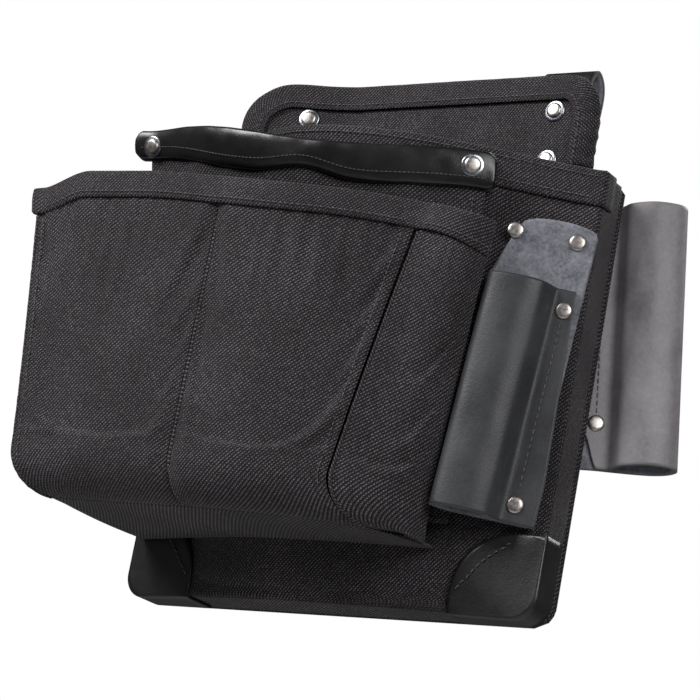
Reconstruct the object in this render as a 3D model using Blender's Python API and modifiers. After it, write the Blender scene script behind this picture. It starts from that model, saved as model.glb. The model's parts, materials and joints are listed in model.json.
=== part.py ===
"""Electrician's belt pouch: three stacked open pouches on one stiff back panel, with two leather belt loops,
a plier holder riveted to the front and a larger leather sleeve that hangs beside the bag.

Sizes are in millimetres and become metres where a mesh is made. X runs to the right as seen from the front,
Y runs back towards the wearer and Z up. Heights are counted from the bag's underside, and the finished part
is lowered so that its origin is where the belt carries it: under the belt loops' crest, on the rear skin.
"""

import math

import bmesh
import bpy
from mathutils import Matrix, Vector

MM = 0.001
GAP = 0.4                    # clearance between pieces that touch
LIP_ROOM = 0.6               # and over a pouch's lip, inside its hem
FABRIC = 1.5                 # ballistic nylon with its lining
HEM = 1.3
LEATHER = 2.2
FLANGE = GAP + LEATHER       # outer face of the upper leaf where a sleeve's two leaves are riveted together

# Back panel: two fabric skins on a stiffener. Its upper part is the yoke.
SKIN = 1.2
STIFFENER = 2.0
REAR_FACE = 2 * SKIN + STIFFENER + 2 * GAP
BACK_HALF = 138.0
YOKE_HALF = 124.0
YOKE_TOP_HALF = 102.0
YOKE_RIGHT_HALF = 113.0      # its right end is gathered, so it reaches less far round
YOKE_TOP_RIGHT_HALF = 100.0
YOKE_TOP = 330.0
YOKE_SHOULDERS = (250.0, 272.0)
RIGHT_SHOULDERS = (255.0, 270.0)
YOKE_CHAMFER = 308.0
YOKE_FOLD = 100.0            # the yoke's right end is bent back from here
YOKE_FOLD_RADIUS = 9.0
YOKE_PULL = 20.0             # and its left end is pulled this far forward
YOKE_HEM = 14.0
YOKE_ROOM = 1.1              # clearance inside the yoke's hem
CORE_ROOM = 0.2              # further clearance round the stiffener
SIDE_DRAW = 0.2              # how far sewing draws the rear skin in towards its sides

# Main bag
MAIN_CENTRE = -20.0          # where the front panel stands out most
MAIN_SIDE_DEPTH = 20.0
MAIN_LIP = 261.0
MAIN_LIP_DROP = 3.0
MAIN_BULGE = (12.0, 78.0)    # at the bottom and at the lip, beyond the sides
MAIN_HEM = 20.0
BAG_CORNER = 12.0
PATCH = (50.0, 46.0)         # leather corner, along the bottom and up the side
PATCH_LEATHER = 1.6

# Second pouch: a wedge that opens to the left
SECOND_LEFT, SECOND_RIGHT = -122.0, 86.0
SECOND_BOTTOM, SECOND_LIP = 46.0, 258.0
SECOND_LAYER = 9.5
SECOND_OPENING = 65.0
LIP_SAG = 11.0               # how far the lip hangs between its rivets
LIP_HEIGHT = 20.0
LIP_RIVETS = (-119.0, 79.0)
LIP_RIVET_DROP = 7.0

# Front pouch: a box with two pockets
FRONT_LIP = 222.0
FRONT_BOTTOM = 33.0
FRONT_CREASE = -46.0
FRONT_DEPTH = 128.0
FRONT_HEM = 15.0

# Rivets
HEAD_RADIUS = 4.8
HEAD_HEIGHT = 1.5
BURR = 0.8
SHANK_RADIUS = 2.0
HOLE_RADIUS = 2.3
WASHER_RADIUS = 6.6
WASHER_HEIGHT = 0.8
YOKE_RIVET_X = 85.0
YOKE_RIVET_HEIGHTS = (307.0, 276.0)
LOOP_FOOT_RIVET = 214.0

# Belt loops
LOOP_CENTRE = 83.0
LOOP_WIDTH = 34.0
LOOP_LEATHER = 2.4
LOOP_CRESTS = {"left": 333.0, "right": 339.0}
LOOP_ENDS = (262.0, 203.0)
LOOP_FACE = REAR_FACE + YOKE_ROOM + HEM + GAP
BELT_TOP = LOOP_CRESTS["right"] - LOOP_LEATHER - 0.5

# Plier holder: a flat frame over the right of the main front panel
HOLDER_PLACE = (117.0, -37.5, 215.5)
HOLDER_TURN, HOLDER_TILT = 25.0, 5.0
HOLDER_TOP, HOLDER_BEND, HOLDER_MOUTH, HOLDER_FOOT = 9.0, -10.0, -30.0, -165.0
HOLDER_RIVETS = (-17.5, 18.0)
HOLDER_SEAM_RIVETS = (-42.0, -154.5)
HOLDER_SEAM = 20.0

# Side sleeve: a flat frame behind the bag's right edge
SIDE_PLACE = (127.0, 14.4, 232.0)
SIDE_TURN, SIDE_TILT = 32.0, -7.0
SIDE_TOP, SIDE_FOOT = 18.0, -139.0
SIDE_BEND = -15.0
SIDE_SEAM = -2.6
SIDE_SEAM_RIVETS = (1.0, -112.5)
TAB_RIVETS = (-6.0, -100.0)
TAB_REACH = 11.0
TAB_CLEAR = 1.3              # from the bend line, so the sleeve can swing back


# ---------------------------------------------------------------- scene, materials and small helpers

for old in list(bpy.data.objects):
    bpy.data.objects.remove(old, do_unlink=True)

POUCH = bpy.data.collections.new("electrician_tool_pouch")
CUTTERS = bpy.data.collections.new("cutters")
bpy.context.scene.collection.children.link(POUCH)
bpy.context.scene.collection.children.link(CUTTERS)
CUTTERS.hide_render = True
ORIGIN = Vector((0.0, REAR_FACE, BELT_TOP))


def material(name, colour, roughness, metallic=0.0):
    made = bpy.data.materials.new(name)
    made.use_nodes = True
    shader = made.node_tree.nodes["Principled BSDF"]
    shader.inputs["Base Color"].default_value = (*colour, 1.0)
    shader.inputs["Roughness"].default_value = roughness
    shader.inputs["Metallic"].default_value = metallic
    made.diffuse_color = (*colour, 1.0)
    return made


def fabric(name):
    return material(name, (0.026, 0.023, 0.027), 0.9)


def black_leather(name):
    return material(name, (0.018, 0.018, 0.02), 0.42)


def grey_leather(name):
    return material(name, (0.045, 0.047, 0.055), 0.6)


def steel(name):
    return material(name, (0.62, 0.6, 0.58), 0.32, 1.0)


def lerp(start, end, t):
    return start + (end - start) * t


def smooth(start, end, value):
    t = min(max((value - start) / (end - start), 0.0), 1.0)
    return t * t * (3.0 - 2.0 * t)


def place(point):
    """A point in bag millimetres as a Vector in metres about the part's origin."""
    return (Vector(point) - ORIGIN) * MM


def add_object(name, mesh, look, rounded=True):
    obj = bpy.data.objects.new(name, mesh)
    POUCH.objects.link(obj)
    obj.data.materials.append(look)
    for face in obj.data.polygons:
        face.use_smooth = rounded
    return obj


def panel(name, surface, columns, rows, thickness, look):
    """A sheet whose outer face follows surface(u, v). Its outside is where du x dv points."""
    grid = bmesh.new()
    bmesh.ops.create_grid(grid, x_segments=columns, y_segments=rows, size=0.5)
    for vertex in grid.verts:
        vertex.co = place(surface(vertex.co.x + 0.5, vertex.co.y + 0.5))
    mesh = bpy.data.meshes.new(name)
    grid.to_mesh(mesh)
    grid.free()
    obj = add_object(name, mesh, look)
    shell = obj.modifiers.new("thickness", "SOLIDIFY")
    shell.thickness = thickness * MM
    shell.offset = -1.0
    shell.use_even_offset = True
    shell.use_quality_normals = True
    return obj


def loft(name, rings, look):
    """A closed solid through rings of points, with a flat cap at each end."""
    body = bmesh.new()
    loops = [[body.verts.new(place(point)) for point in ring] for ring in rings]
    for first, second in zip(loops, loops[1:]):
        for index in range(len(first)):
            after = (index + 1) % len(first)
            body.faces.new((first[index], first[after], second[after], second[index]))
    body.faces.new(loops[0][::-1])
    body.faces.new(loops[-1])
    bmesh.ops.recalc_face_normals(body, faces=body.faces)
    mesh = bpy.data.meshes.new(name)
    body.to_mesh(mesh)
    body.free()
    return add_object(name, mesh, look)


def towards(direction):
    return Vector(direction).to_track_quat("Z", "Y").to_matrix().to_4x4()


def turned(name, profile, centre, axis, look, sides=14):
    """A solid of revolution about axis, from an open profile of (radius, height) with its ends on the axis,
    or from a closed one when the profile's ends meet."""
    closed = profile[0] == profile[-1]
    points = profile[:-1] if closed else profile
    outline = bpy.data.meshes.new(name)
    edges = [(index, index + 1) for index in range(len(points) - 1)]
    if closed:
        edges.append((len(points) - 1, 0))
    outline.from_pydata([(radius * MM, 0.0, height * MM) for radius, height in points], edges, [])
    obj = add_object(name, outline, look)
    spin = obj.modifiers.new("turned", "SCREW")
    spin.steps = spin.render_steps = sides
    spin.use_merge_vertices = True
    spin.merge_threshold = 0.00001
    spin.use_normal_calculate = True
    spin.use_normal_flip = True
    spin.use_smooth_shade = True
    obj.matrix_world = Matrix.Translation(place(centre)) @ towards(axis)
    return obj


def rivet(name, centre, axis, front, rear):
    """A domed cap and a flatter burr on one shank, front and rear from its centre."""
    profile = [
        (0.0, front + HEAD_HEIGHT),
        (HEAD_RADIUS * 0.62, front + HEAD_HEIGHT * 0.93),
        (HEAD_RADIUS * 0.93, front + HEAD_HEIGHT * 0.55),
        (HEAD_RADIUS, front),
        (SHANK_RADIUS, front),
        (SHANK_RADIUS, -rear),
        (HEAD_RADIUS * 0.9, -rear),
        (HEAD_RADIUS * 0.85, -rear - BURR),
        (0.0, -rear - BURR),
    ]
    return turned(name, profile[::-1], centre, axis, steel(name))


def washer(name, centre, axis, foot):
    """A flat ring under a cap; foot is its underside's distance from the rivet's centre."""
    profile = [
        (HOLE_RADIUS, foot),
        (WASHER_RADIUS, foot),
        (WASHER_RADIUS, foot + WASHER_HEIGHT),
        (HOLE_RADIUS, foot + WASHER_HEIGHT),
        (HOLE_RADIUS, foot),
    ]
    return turned(name, profile, centre, axis, steel(name), 18)


def drill(centre, axis, reach, *targets):
    """Bores one rivet hole through each of the targets."""
    name = "hole_" + str(len(CUTTERS.objects))
    bit = bmesh.new()
    bmesh.ops.create_cone(
        bit, cap_ends=True, segments=14, radius1=HOLE_RADIUS * MM, radius2=HOLE_RADIUS * MM, depth=reach * MM
    )
    mesh = bpy.data.meshes.new(name)
    bit.to_mesh(mesh)
    bit.free()
    cutter = bpy.data.objects.new(name, mesh)
    CUTTERS.objects.link(cutter)
    cutter.display_type = "WIRE"
    cutter.hide_render = True
    cutter.matrix_world = Matrix.Translation(place(centre)) @ towards(axis)
    for target in targets:
        cut = target.modifiers.new(name, "BOOLEAN")
        cut.operation = "DIFFERENCE"
        cut.solver = "EXACT"
        cut.object = cutter


def spline(points, count):
    """count points spaced evenly along a Catmull-Rom curve through the given ones."""
    knots = [Vector(point) for point in points]
    knots = [2 * knots[0] - knots[1], *knots, 2 * knots[-1] - knots[-2]]
    dense = []
    for a, b, c, d in zip(knots, knots[1:], knots[2:], knots[3:]):
        for step in range(12):
            t = step / 12
            dense.append(
                0.5 * (2 * b + (c - a) * t + (2 * a - 5 * b + 4 * c - d) * t * t + (3 * b - a - 3 * c + d) * t ** 3)
            )
    dense.append(knots[-2])
    lengths = [0.0]
    for first, second in zip(dense, dense[1:]):
        lengths.append(lengths[-1] + (second - first).length)
    even = []
    index = 0
    for number in range(count):
        want = lengths[-1] * number / (count - 1)
        while index < len(dense) - 2 and lengths[index + 1] < want:
            index += 1
        t = (want - lengths[index]) / (lengths[index + 1] - lengths[index])
        even.append(dense[index].lerp(dense[index + 1], min(max(t, 0.0), 1.0)))
    return even


def along(points, t):
    """The point at fraction t of a list of evenly spaced points."""
    position = min(max(t, 0.0), 1.0) * (len(points) - 1)
    index = min(int(position), len(points) - 2)
    return points[index].lerp(points[index + 1], position - index)


def hang(name, point, pieces):
    """An empty on a joint's axis that carries the pieces which move with it."""
    pivot = bpy.data.objects.new(name, None)
    POUCH.objects.link(pivot)
    pivot.empty_display_size = 0.02
    pivot.location = place(point)
    for piece in pieces:
        piece.parent = pivot
        piece.matrix_parent_inverse = Matrix.Translation(-place(point))


class Frame:
    """A flat frame for a hanging leather piece. Its up axis leans sideways by tilt and stays parallel to the
    back panel, and the piece is turned back about that axis."""

    def __init__(self, centre, turn, tilt):
        turn, tilt = math.radians(turn), math.radians(tilt)
        side = Vector((math.cos(tilt), 0.0, -math.sin(tilt)))
        back = Vector((0.0, 1.0, 0.0))
        self.centre = Vector(centre)
        self.up = Vector((math.sin(tilt), 0.0, math.cos(tilt)))
        self.across = side * math.cos(turn) + back * math.sin(turn)
        self.out = side * math.sin(turn) - back * math.cos(turn)

    def at(self, across, up, out=0.0):
        return self.centre + self.across * across + self.up * up + self.out * out


# ---------------------------------------------------------------- the bag's surfaces

def rounded_half(half, z):
    """A half width whose bottom corner is rounded."""
    if z >= BAG_CORNER:
        return half
    return half - BAG_CORNER + math.sqrt(max(BAG_CORNER ** 2 - (BAG_CORNER - z) ** 2, 0.0))


def main_lip(x):
    return MAIN_LIP - MAIN_LIP_DROP * (x / BACK_HALF) ** 2


def main_depth(x, z):
    """How far the main front panel's outer face stands from the back panel."""
    height = min(max(z / MAIN_LIP, 0.0), 1.05)
    bulge = lerp(*MAIN_BULGE, height ** 1.15)
    reach = BACK_HALF - MAIN_CENTRE if x > MAIN_CENTRE else BACK_HALF + MAIN_CENTRE
    side = min(abs(x - MAIN_CENTRE) / reach, 1.0)
    return MAIN_SIDE_DEPTH + bulge * (1.0 - side * side) ** 1.4


def main_wall(p, z):
    """Round the main bag: 0 to 1 is the left gusset, 1 to 2 the front and 2 to 3 the right gusset."""
    if p < 1.0:
        return Vector((-BACK_HALF, -MAIN_SIDE_DEPTH * p, z))
    if p > 2.0:
        return Vector((BACK_HALF, -MAIN_SIDE_DEPTH * (3.0 - p), z))
    x = rounded_half(BACK_HALF, z) * (2.0 * p - 3.0)
    return Vector((x, -main_depth(x, z), z))


def second_depth(x, z):
    height = min(max((z - SECOND_BOTTOM) / (SECOND_LIP - SECOND_BOTTOM), 0.0), 1.05)
    open_to_left = (max(SECOND_RIGHT - x, 0.0) / (SECOND_RIGHT - SECOND_LEFT)) ** 3
    return main_depth(x, z) + SECOND_LAYER + SECOND_OPENING * open_to_left * height ** 0.9


def second_lip(x):
    """The lip hangs between its two rivets, lowest near the middle."""
    return SECOND_LIP - LIP_SAG * smooth(-105.0, 0.0, x) * (1.0 - 0.6 * smooth(10.0, 90.0, x))


def lip_height(x):
    """The leather narrows at its left end and where it is pinched."""
    pinch = math.exp(-((x + 8.0) / 20.0) ** 2)
    return LIP_HEIGHT - 6.0 * smooth(-55.0, -122.0, x) - 6.0 * pinch


def second_wall(p, z):
    x = lerp(SECOND_LEFT, SECOND_RIGHT, p)
    return Vector((x, -second_depth(x, z), z))


def front_height(z):
    return min(max((z - FRONT_BOTTOM) / (FRONT_LIP - FRONT_BOTTOM), 0.0), 1.0)


def front_left(z):
    """The front pouch's left edge, which narrows downwards."""
    return -147.0 - 24.0 * front_height(z) ** 1.2


def front_right(z):
    return 41.0 + 21.0 * front_height(z) ** 1.1


def front_lip(p):
    """The lip droops at its left corner, falls towards the right and rises a little at its right seam."""
    left_corner = smooth(0.0, 1.0, p) - smooth(1.0, 1.15, p)
    right_seam = smooth(1.5, 2.0, p) - smooth(2.0, 2.5, p)
    fall = 6.3 * smooth(1.3, 1.75, p) + 2.0 * smooth(2.2, 3.0, p)
    return FRONT_LIP - 11.0 * left_corner + 3.0 * right_seam - fall


def front_hem(p):
    """The hem's height, which grows towards the right gusset's rear edge."""
    return FRONT_HEM + 4.5 * smooth(2.2, 3.0, p)


def front_depth(x, z):
    depth = FRONT_DEPTH + 10.0 * max(FRONT_CREASE - x, 0.0) / 114.0
    if x > FRONT_CREASE:
        depth -= lerp(38.0, 44.5, front_height(z)) * ((x - FRONT_CREASE) / 100.0) ** 1.77
    return depth - 14.0 * smooth(60.0, FRONT_BOTTOM, z) ** 2


def front_wall(p, z):
    """Round the front pouch: 0 to 1 is the left gusset, 1 to 2 the front and 2 to 3 the right gusset."""
    height = front_height(z)
    left, right = front_left(z), front_right(z)
    if p < 1.0:
        front = Vector((left, -front_depth(left, z), z))
        rear_x = lerp(-136.0, -124.5, height ** 0.5)
        rear = Vector((rear_x, -second_depth(SECOND_LEFT, z) + 4.0, z))
        return rear.lerp(front, p) + Vector((-8.0 * math.sin(math.pi * p) * height, 0.0, 0.0))
    if p > 2.0:
        front = Vector((right, -front_depth(right, z), z))
        rear_x = 77.0 + 21.0 * height ** 1.2
        rear = Vector((rear_x, -main_depth(rear_x, z) - 12.0 - 3.5 * height, z))
        return front.lerp(rear, p - 2.0) + Vector((7.0, -4.0, 0.0)) * math.sin(math.pi * (p - 2.0))
    x = lerp(left, right, p - 1.0)
    return Vector((x, -front_depth(x, z), z))


def outward(wall, p, z, step=0.004):
    """The level normal of a wall. At a corner it is the mitre."""
    before = wall(p, z) - wall(p - step, z)
    after = wall(p + step, z) - wall(p, z)
    before.z = after.z = 0.0
    sides = [Vector((leg.y, -leg.x, 0.0)).normalized() for leg in (before, after)]
    middle = (sides[0] + sides[1]).normalized()
    return middle / max(middle.dot(sides[0]), 0.5)


def hem(name, wall, stations, lip, height, thickness, look):
    """A strip folded over a wall's lip: one closed solid with a U section."""
    near, far = GAP, GAP + thickness
    back = -FABRIC
    rings = []
    for p in stations:
        edge = lip(p)
        deep = height(p)
        section = [
            (far, -deep), (far, -0.5), (far * 0.6, far * 0.8), (back / 2, far), (back - far * 0.6, far * 0.8),
            (back - far, -0.5), (back - far, -deep), (back - near, -deep), (back - near, near), (near, near),
            (near, -deep),
        ]
        ring = []
        for offset, rise in section:
            foot = wall(p, edge + min(rise, 0.0))
            ring.append(foot + outward(wall, p, edge) * offset + Vector((0.0, 0.0, max(rise, 0.0))))
        rings.append(ring)
    return loft(name, rings, look)


def steps(start, end, count):
    return [lerp(start, end, index / count) for index in range(count + 1)]


def yoke_place(x, z, behind):
    """Where a point of the back panel lies; behind is its depth in the panel. The yoke's right end folds
    back and its left end comes forward."""
    raised = smooth(254.0, 290.0, z)
    if x < -50.0:
        pull = YOKE_PULL * smooth(248.0, 304.0, z) * smooth(-50.0, -YOKE_HALF - 14.0, x)
        return Vector((x, behind - pull, z))
    past = x - YOKE_FOLD
    if past <= 0.0 or raised == 0.0:
        return Vector((x, behind, z))
    turn = math.radians(88.0) * raised
    arc = min(past / YOKE_FOLD_RADIUS, turn)
    rest = max(past - YOKE_FOLD_RADIUS * turn, 0.0)
    inner = YOKE_FOLD_RADIUS - behind
    return Vector((
        YOKE_FOLD + inner * math.sin(arc) + rest * math.cos(arc),
        YOKE_FOLD_RADIUS - inner * math.cos(arc) + rest * math.sin(arc),
        z,
    ))


def back_half(z, right=False):
    shoulders, yoke_half, top_half = YOKE_SHOULDERS, YOKE_HALF, YOKE_TOP_HALF
    if right:
        shoulders, yoke_half, top_half = RIGHT_SHOULDERS, YOKE_RIGHT_HALF, YOKE_TOP_RIGHT_HALF
    half = lerp(rounded_half(BACK_HALF, z), yoke_half, smooth(*shoulders, z))
    if z > YOKE_CHAMFER:
        half = lerp(half, top_half, ((z - YOKE_CHAMFER) / (YOKE_TOP - YOKE_CHAMFER)) ** 1.6)
    return half


def back_x(column, z):
    """Across the back panel: column is -1 at its left edge and 1 at its right."""
    return column * back_half(z, column > 0.0)


SKIN_TOP = YOKE_TOP - YOKE_ROOM - HEM


# ---------------------------------------------------------------- back panel and yoke

# Grid lines of the back panel, closer together where it bends
BACK_COLUMNS = [
    -1.0, -0.92, -0.84, -0.76, -0.68, -0.59, -0.5, -0.4, 0.0, 0.4, 0.7, 0.8, 0.86, 0.885, 0.9, 0.915, 0.93, 0.95,
    0.975, 1.0,
]
BACK_ROWS = [
    0.0, 1.2, 3.5, 7.0, 12.0, 70.0, 140.0, 205.0, 215.0, 224.0, 232.0, 240.0, 248.0, 256.0, 264.0, 272.0, 280.0,
    290.0, 300.0, 308.0, 315.0, 321.0, SKIN_TOP,
]


def back_skin(name, behind, faces_back=False):
    columns, rows = len(BACK_COLUMNS) - 1, len(BACK_ROWS) - 1

    def surface(u, v):
        z = BACK_ROWS[round(v * rows)]
        column = BACK_COLUMNS[round((1.0 - u if faces_back else u) * columns)]
        point = yoke_place(back_x(column, z), z, behind)
        if faces_back:
            point.y -= SIDE_DRAW * smooth(0.4, 1.0, abs(column))
        return point
    return panel(name, surface, columns, rows, SKIN, fabric(name))


def build_back():
    core_columns = [-88.0, -82.0, -76.0, -70.0, -63.0, -55.0, -40.0, 0.0, 50.0, 95.0]
    core_rows = [7.0, *BACK_ROWS[4:20]]

    def core_surface(u, v):
        return yoke_place(core_columns[round(u * 9)], core_rows[round(v * 16)], SKIN + GAP + CORE_ROOM)

    front = back_skin("back_panel_front_skin", 0.0)
    core = panel("back_stiffener", core_surface, 9, 16, STIFFENER - 2 * CORE_ROOM,
                 material("stiffener", (0.05, 0.05, 0.05), 0.6))
    rear = back_skin("back_panel_rear_skin", REAR_FACE, faces_back=True)
    return front, core, rear


def build_yoke_hem():
    heights = [272.0, 280.0, 290.0, 300.0, 308.0, 315.0, 321.0, SKIN_TOP]
    left = [(back_x(-1.0, z), z) for z in heights]
    top = [(back_x(column, SKIN_TOP), SKIN_TOP) for column in BACK_COLUMNS[1:-1]]
    path = [*left, *top, *[(back_x(1.0, z), z) for z in heights[::-1]]]
    near, far = YOKE_ROOM, YOKE_ROOM + HEM
    depths = [YOKE_HEM, YOKE_HEM * 0.75, YOKE_HEM * 0.5, YOKE_HEM * 0.25]
    section = [(into, -far) for into in depths]
    section += [(-far * 0.8, -far * 0.5), (-far, REAR_FACE / 2), (-far * 0.8, REAR_FACE + far * 0.5)]
    section += [(into, REAR_FACE + far) for into in depths[::-1]] + [(into, REAR_FACE + near) for into in depths]
    section += [(-near, REAR_FACE + near), (-near, -near)] + [(into, -near) for into in depths[::-1]]
    rings = []
    for index, (x, z) in enumerate(path):
        before = Vector(path[max(index - 1, 0)])
        after = Vector(path[min(index + 1, len(path) - 1)])
        here = Vector((x, z))
        legs = [leg.normalized() for leg in (here - before, after - here) if leg.length > 0]
        sides = [Vector((leg.y, -leg.x)) for leg in legs]
        middle = (sides[0] + sides[-1]).normalized()
        inward = middle / max(middle.dot(sides[0]), 0.6)
        rings.append([yoke_place(x + inward.x * into, z + inward.y * into, behind) for into, behind in section])
    return loft("yoke_hem", rings, fabric("yoke_hem"))


def build_loop(side, centre):
    """A strap from behind the yoke, over a crest and down to a riveted foot."""
    front = LOOP_FACE
    foot = REAR_FACE + GAP + LOOP_LEATHER
    crest = LOOP_CRESTS[side]
    route = spline([
        (front, LOOP_ENDS[0]), (front, 290.0), (front, crest - 21.0), (front + 2.0, crest - 7.0),
        (front + 9.0, crest), (front + 17.0, crest - 5.0), (front + 19.5, crest - 17.0), (front + 16.0, 296.0),
        (front + 8.0, 255.0), (foot + 0.8, 228.0), (foot, 218.0), (foot, LOOP_ENDS[1]),
    ], 34)

    def surface(u, v):
        point = along(route, v)
        x = lerp(-LOOP_WIDTH / 2, LOOP_WIDTH / 2, u) + centre
        return Vector((x, point.x + yoke_place(x, point.y, 0.0).y, point.y))
    return panel("belt_loop_" + side, surface, 3, 34, LOOP_LEATHER, black_leather("belt_loop_" + side))


def yoke_normal(x, z):
    across = yoke_place(x + 1.0, z, 0.0) - yoke_place(x - 1.0, z, 0.0)
    upward = yoke_place(x, z + 1.0, 0.0) - yoke_place(x, z - 1.0, 0.0)
    return across.cross(upward).normalized()


def fasten_loops(front, core, rear, loops):
    """Two rivets with washers through the yoke into each loop, and one through the loop's foot."""
    inner = LOOP_FACE + LOOP_LEATHER
    for side, sign in (("left", -1.0), ("right", 1.0)):
        x = sign * YOKE_RIVET_X
        for row, z in zip(("upper", "lower"), YOKE_RIVET_HEIGHTS):
            axis = yoke_normal(x, z)
            centre = yoke_place(x, z, 0.0) - axis * (inner / 2)
            front_gap = inner / 2 + GAP
            label = row + "_" + side
            washer("yoke_washer_" + label, centre, axis, front_gap)
            rivet("yoke_rivet_" + label, centre, axis, front_gap + WASHER_HEIGHT + 0.2, inner / 2 + GAP)
            drill(centre, axis, 40.0, front, core, rear, loops[side])
        x = sign * LOOP_CENTRE
        thick = REAR_FACE + GAP + LOOP_LEATHER
        centre = (x, thick / 2, LOOP_FOOT_RIVET)
        rivet("loop_foot_rivet_" + side, centre, (0.0, -1.0, 0.0), thick / 2 + GAP, thick / 2 + GAP)
        drill(centre, (0.0, 1.0, 0.0), 24.0, front, core, rear, loops[side])


# ---------------------------------------------------------------- main bag

def main_panel():
    def surface(u, v):
        x = u * 2.0 - 1.0
        z = lerp(0.0, main_lip(BACK_HALF * x) - LIP_ROOM, v ** 1.35)
        return main_wall(1.0 + u, z)
    return panel("main_front_panel", surface, 30, 16, FABRIC, fabric("main_front_panel"))


def main_gusset():
    """Left side, bottom and right side in one strip."""
    lip = main_lip(BACK_HALF) - LIP_ROOM
    low = BAG_CORNER * (1.0 - math.cos(math.radians(45.0)))
    corner = [(BACK_HALF - BAG_CORNER, 0.0), (BACK_HALF - low, low), (BACK_HALF, BAG_CORNER)]
    right = [(BACK_HALF - BAG_CORNER - 14.0, 0.0), *corner, (BACK_HALF, BAG_CORNER + 14.0)]
    bottom = [(lerp(-112.0, 112.0, index / 10), 0.0) for index in range(1, 10)]
    sides = [(BACK_HALF, lerp(BAG_CORNER + 14.0, lip, index / 6)) for index in range(1, 7)]
    path = [(-x, z) for x, z in sides[::-1]] + [(-x, z) for x, z in right[::-1]] + bottom + right + sides

    def surface(u, v):
        x, z = path[round(u * (len(path) - 1))]
        front = main_depth(x, z) - FABRIC - GAP - 0.3
        rear = GAP - min(yoke_place(x, z, 0.0).y, 0.0)
        return Vector((x, -lerp(rear, front, v), z))
    return panel("main_gusset", surface, len(path) - 1, 3, FABRIC, fabric("main_gusset"))


def main_hem():
    stations = [0.12, 0.6, 1.0, *steps(1.03, 1.97, 26), 2.0, 2.4, 2.88]

    def lip(p):
        return main_lip(main_wall(p, MAIN_LIP).x)
    return hem("main_lip_hem", main_wall, stations, lip, lambda p: MAIN_HEM, HEM, fabric("main_lip_hem"))


def corner_patch(side, sign):
    """A leather corner over the front panel that wraps round onto the gusset."""
    along_bottom, up_side = PATCH
    lift = GAP + PATCH_LEATHER
    outer = BAG_CORNER + lift
    edge = [(BACK_HALF - along_bottom, -lift), (BACK_HALF - along_bottom / 2, -lift)]
    centre = (BACK_HALF - BAG_CORNER, BAG_CORNER)
    edge += [
        (centre[0] + outer * math.sin(math.radians(turn)), centre[1] - outer * math.cos(math.radians(turn)))
        for turn in (0, 22.5, 45, 67.5, 90)
    ]
    edge += [(BACK_HALF + lift, BAG_CORNER + 14.0), (BACK_HALF + lift, up_side)]
    count = len(edge) - 1

    def surface(u, v):
        t = u if sign > 0 else 1.0 - u
        x, z = edge[round(t * count)]
        if v <= 0.26:
            front = max(main_depth(x, max(z, 0.0)) + lift, MAIN_SIDE_DEPTH + lift)
            return Vector((sign * x, -lerp(4.0, front, v / 0.25), z))
        turn = math.radians(90.0 * t)
        inner_x = BACK_HALF - 6.0 - (along_bottom - 6.0) * max(math.cos(turn), 0.0) ** 0.8
        inner_z = 6.0 + (up_side - 6.0) * max(math.sin(turn), 0.0) ** 0.8
        reach = (v - 0.25) / 0.75
        here = Vector((lerp(x, inner_x, reach), lerp(z, inner_z, reach)))
        return Vector((sign * here.x, -main_depth(sign * here.x, max(here.y, 0.0)) - lift, here.y))
    name = "corner_patch_" + side
    return panel(name, surface, count, 8, PATCH_LEATHER, black_leather(name))


# ---------------------------------------------------------------- second pouch

def second_pouch():
    def surface(u, v):
        top = second_lip(second_wall(u, SECOND_LIP).x) - LIP_ROOM
        return second_wall(u, lerp(SECOND_BOTTOM, top, v))

    def gusset_surface(u, v):
        z = lerp(SECOND_BOTTOM + 6.0, SECOND_LIP - 26.0, v)
        x = SECOND_LEFT
        return Vector((x, -lerp(main_depth(x, z) + 2.2, second_depth(x, z) - FABRIC - 1.0, u), z))

    def divider_surface(u, v):
        x = -16.0
        z = lerp(80.0, 224.0, v)
        return Vector((x, -lerp(main_depth(x, z) + 1.5, second_depth(x, z) - FABRIC - 1.0, u), z))

    outer = panel("second_pouch_panel", surface, 28, 12, FABRIC, fabric("second_pouch_panel"))
    panel("second_pouch_gusset", gusset_surface, 6, 10, FABRIC, fabric("second_pouch_gusset"))
    panel("second_pouch_divider", divider_surface, 2, 8, FABRIC, fabric("second_pouch_divider"))
    stations = steps(-0.05, 1.02, 32)
    lip = hem(
        "second_pouch_lip", second_wall, stations, lambda p: second_lip(second_wall(p, SECOND_LIP).x),
        lambda p: lip_height(second_wall(p, SECOND_LIP).x), LEATHER - 0.2, black_leather("second_pouch_lip"),
    )
    for side, x in zip(("left", "right"), LIP_RIVETS):
        p = (x - SECOND_LEFT) / (SECOND_RIGHT - SECOND_LEFT)
        z = second_lip(x) - LIP_RIVET_DROP
        across = second_wall(p + 0.01, z) - second_wall(p - 0.01, z)
        axis = across.cross(second_wall(p, z + 2.0) - second_wall(p, z - 2.0)).normalized()
        centre = second_wall(p, z) - outward(second_wall, p, z) * (FABRIC / 2)
        half = FABRIC / 2 + GAP + LEATHER - 0.2
        washer("lip_washer_" + side, centre, axis, half + 0.5)
        rivet("lip_rivet_" + side, centre, axis, half + 0.7 + WASHER_HEIGHT, half + 0.3)
        drill(centre, axis, 16.0, outer, lip)


# ---------------------------------------------------------------- front pouch

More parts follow.
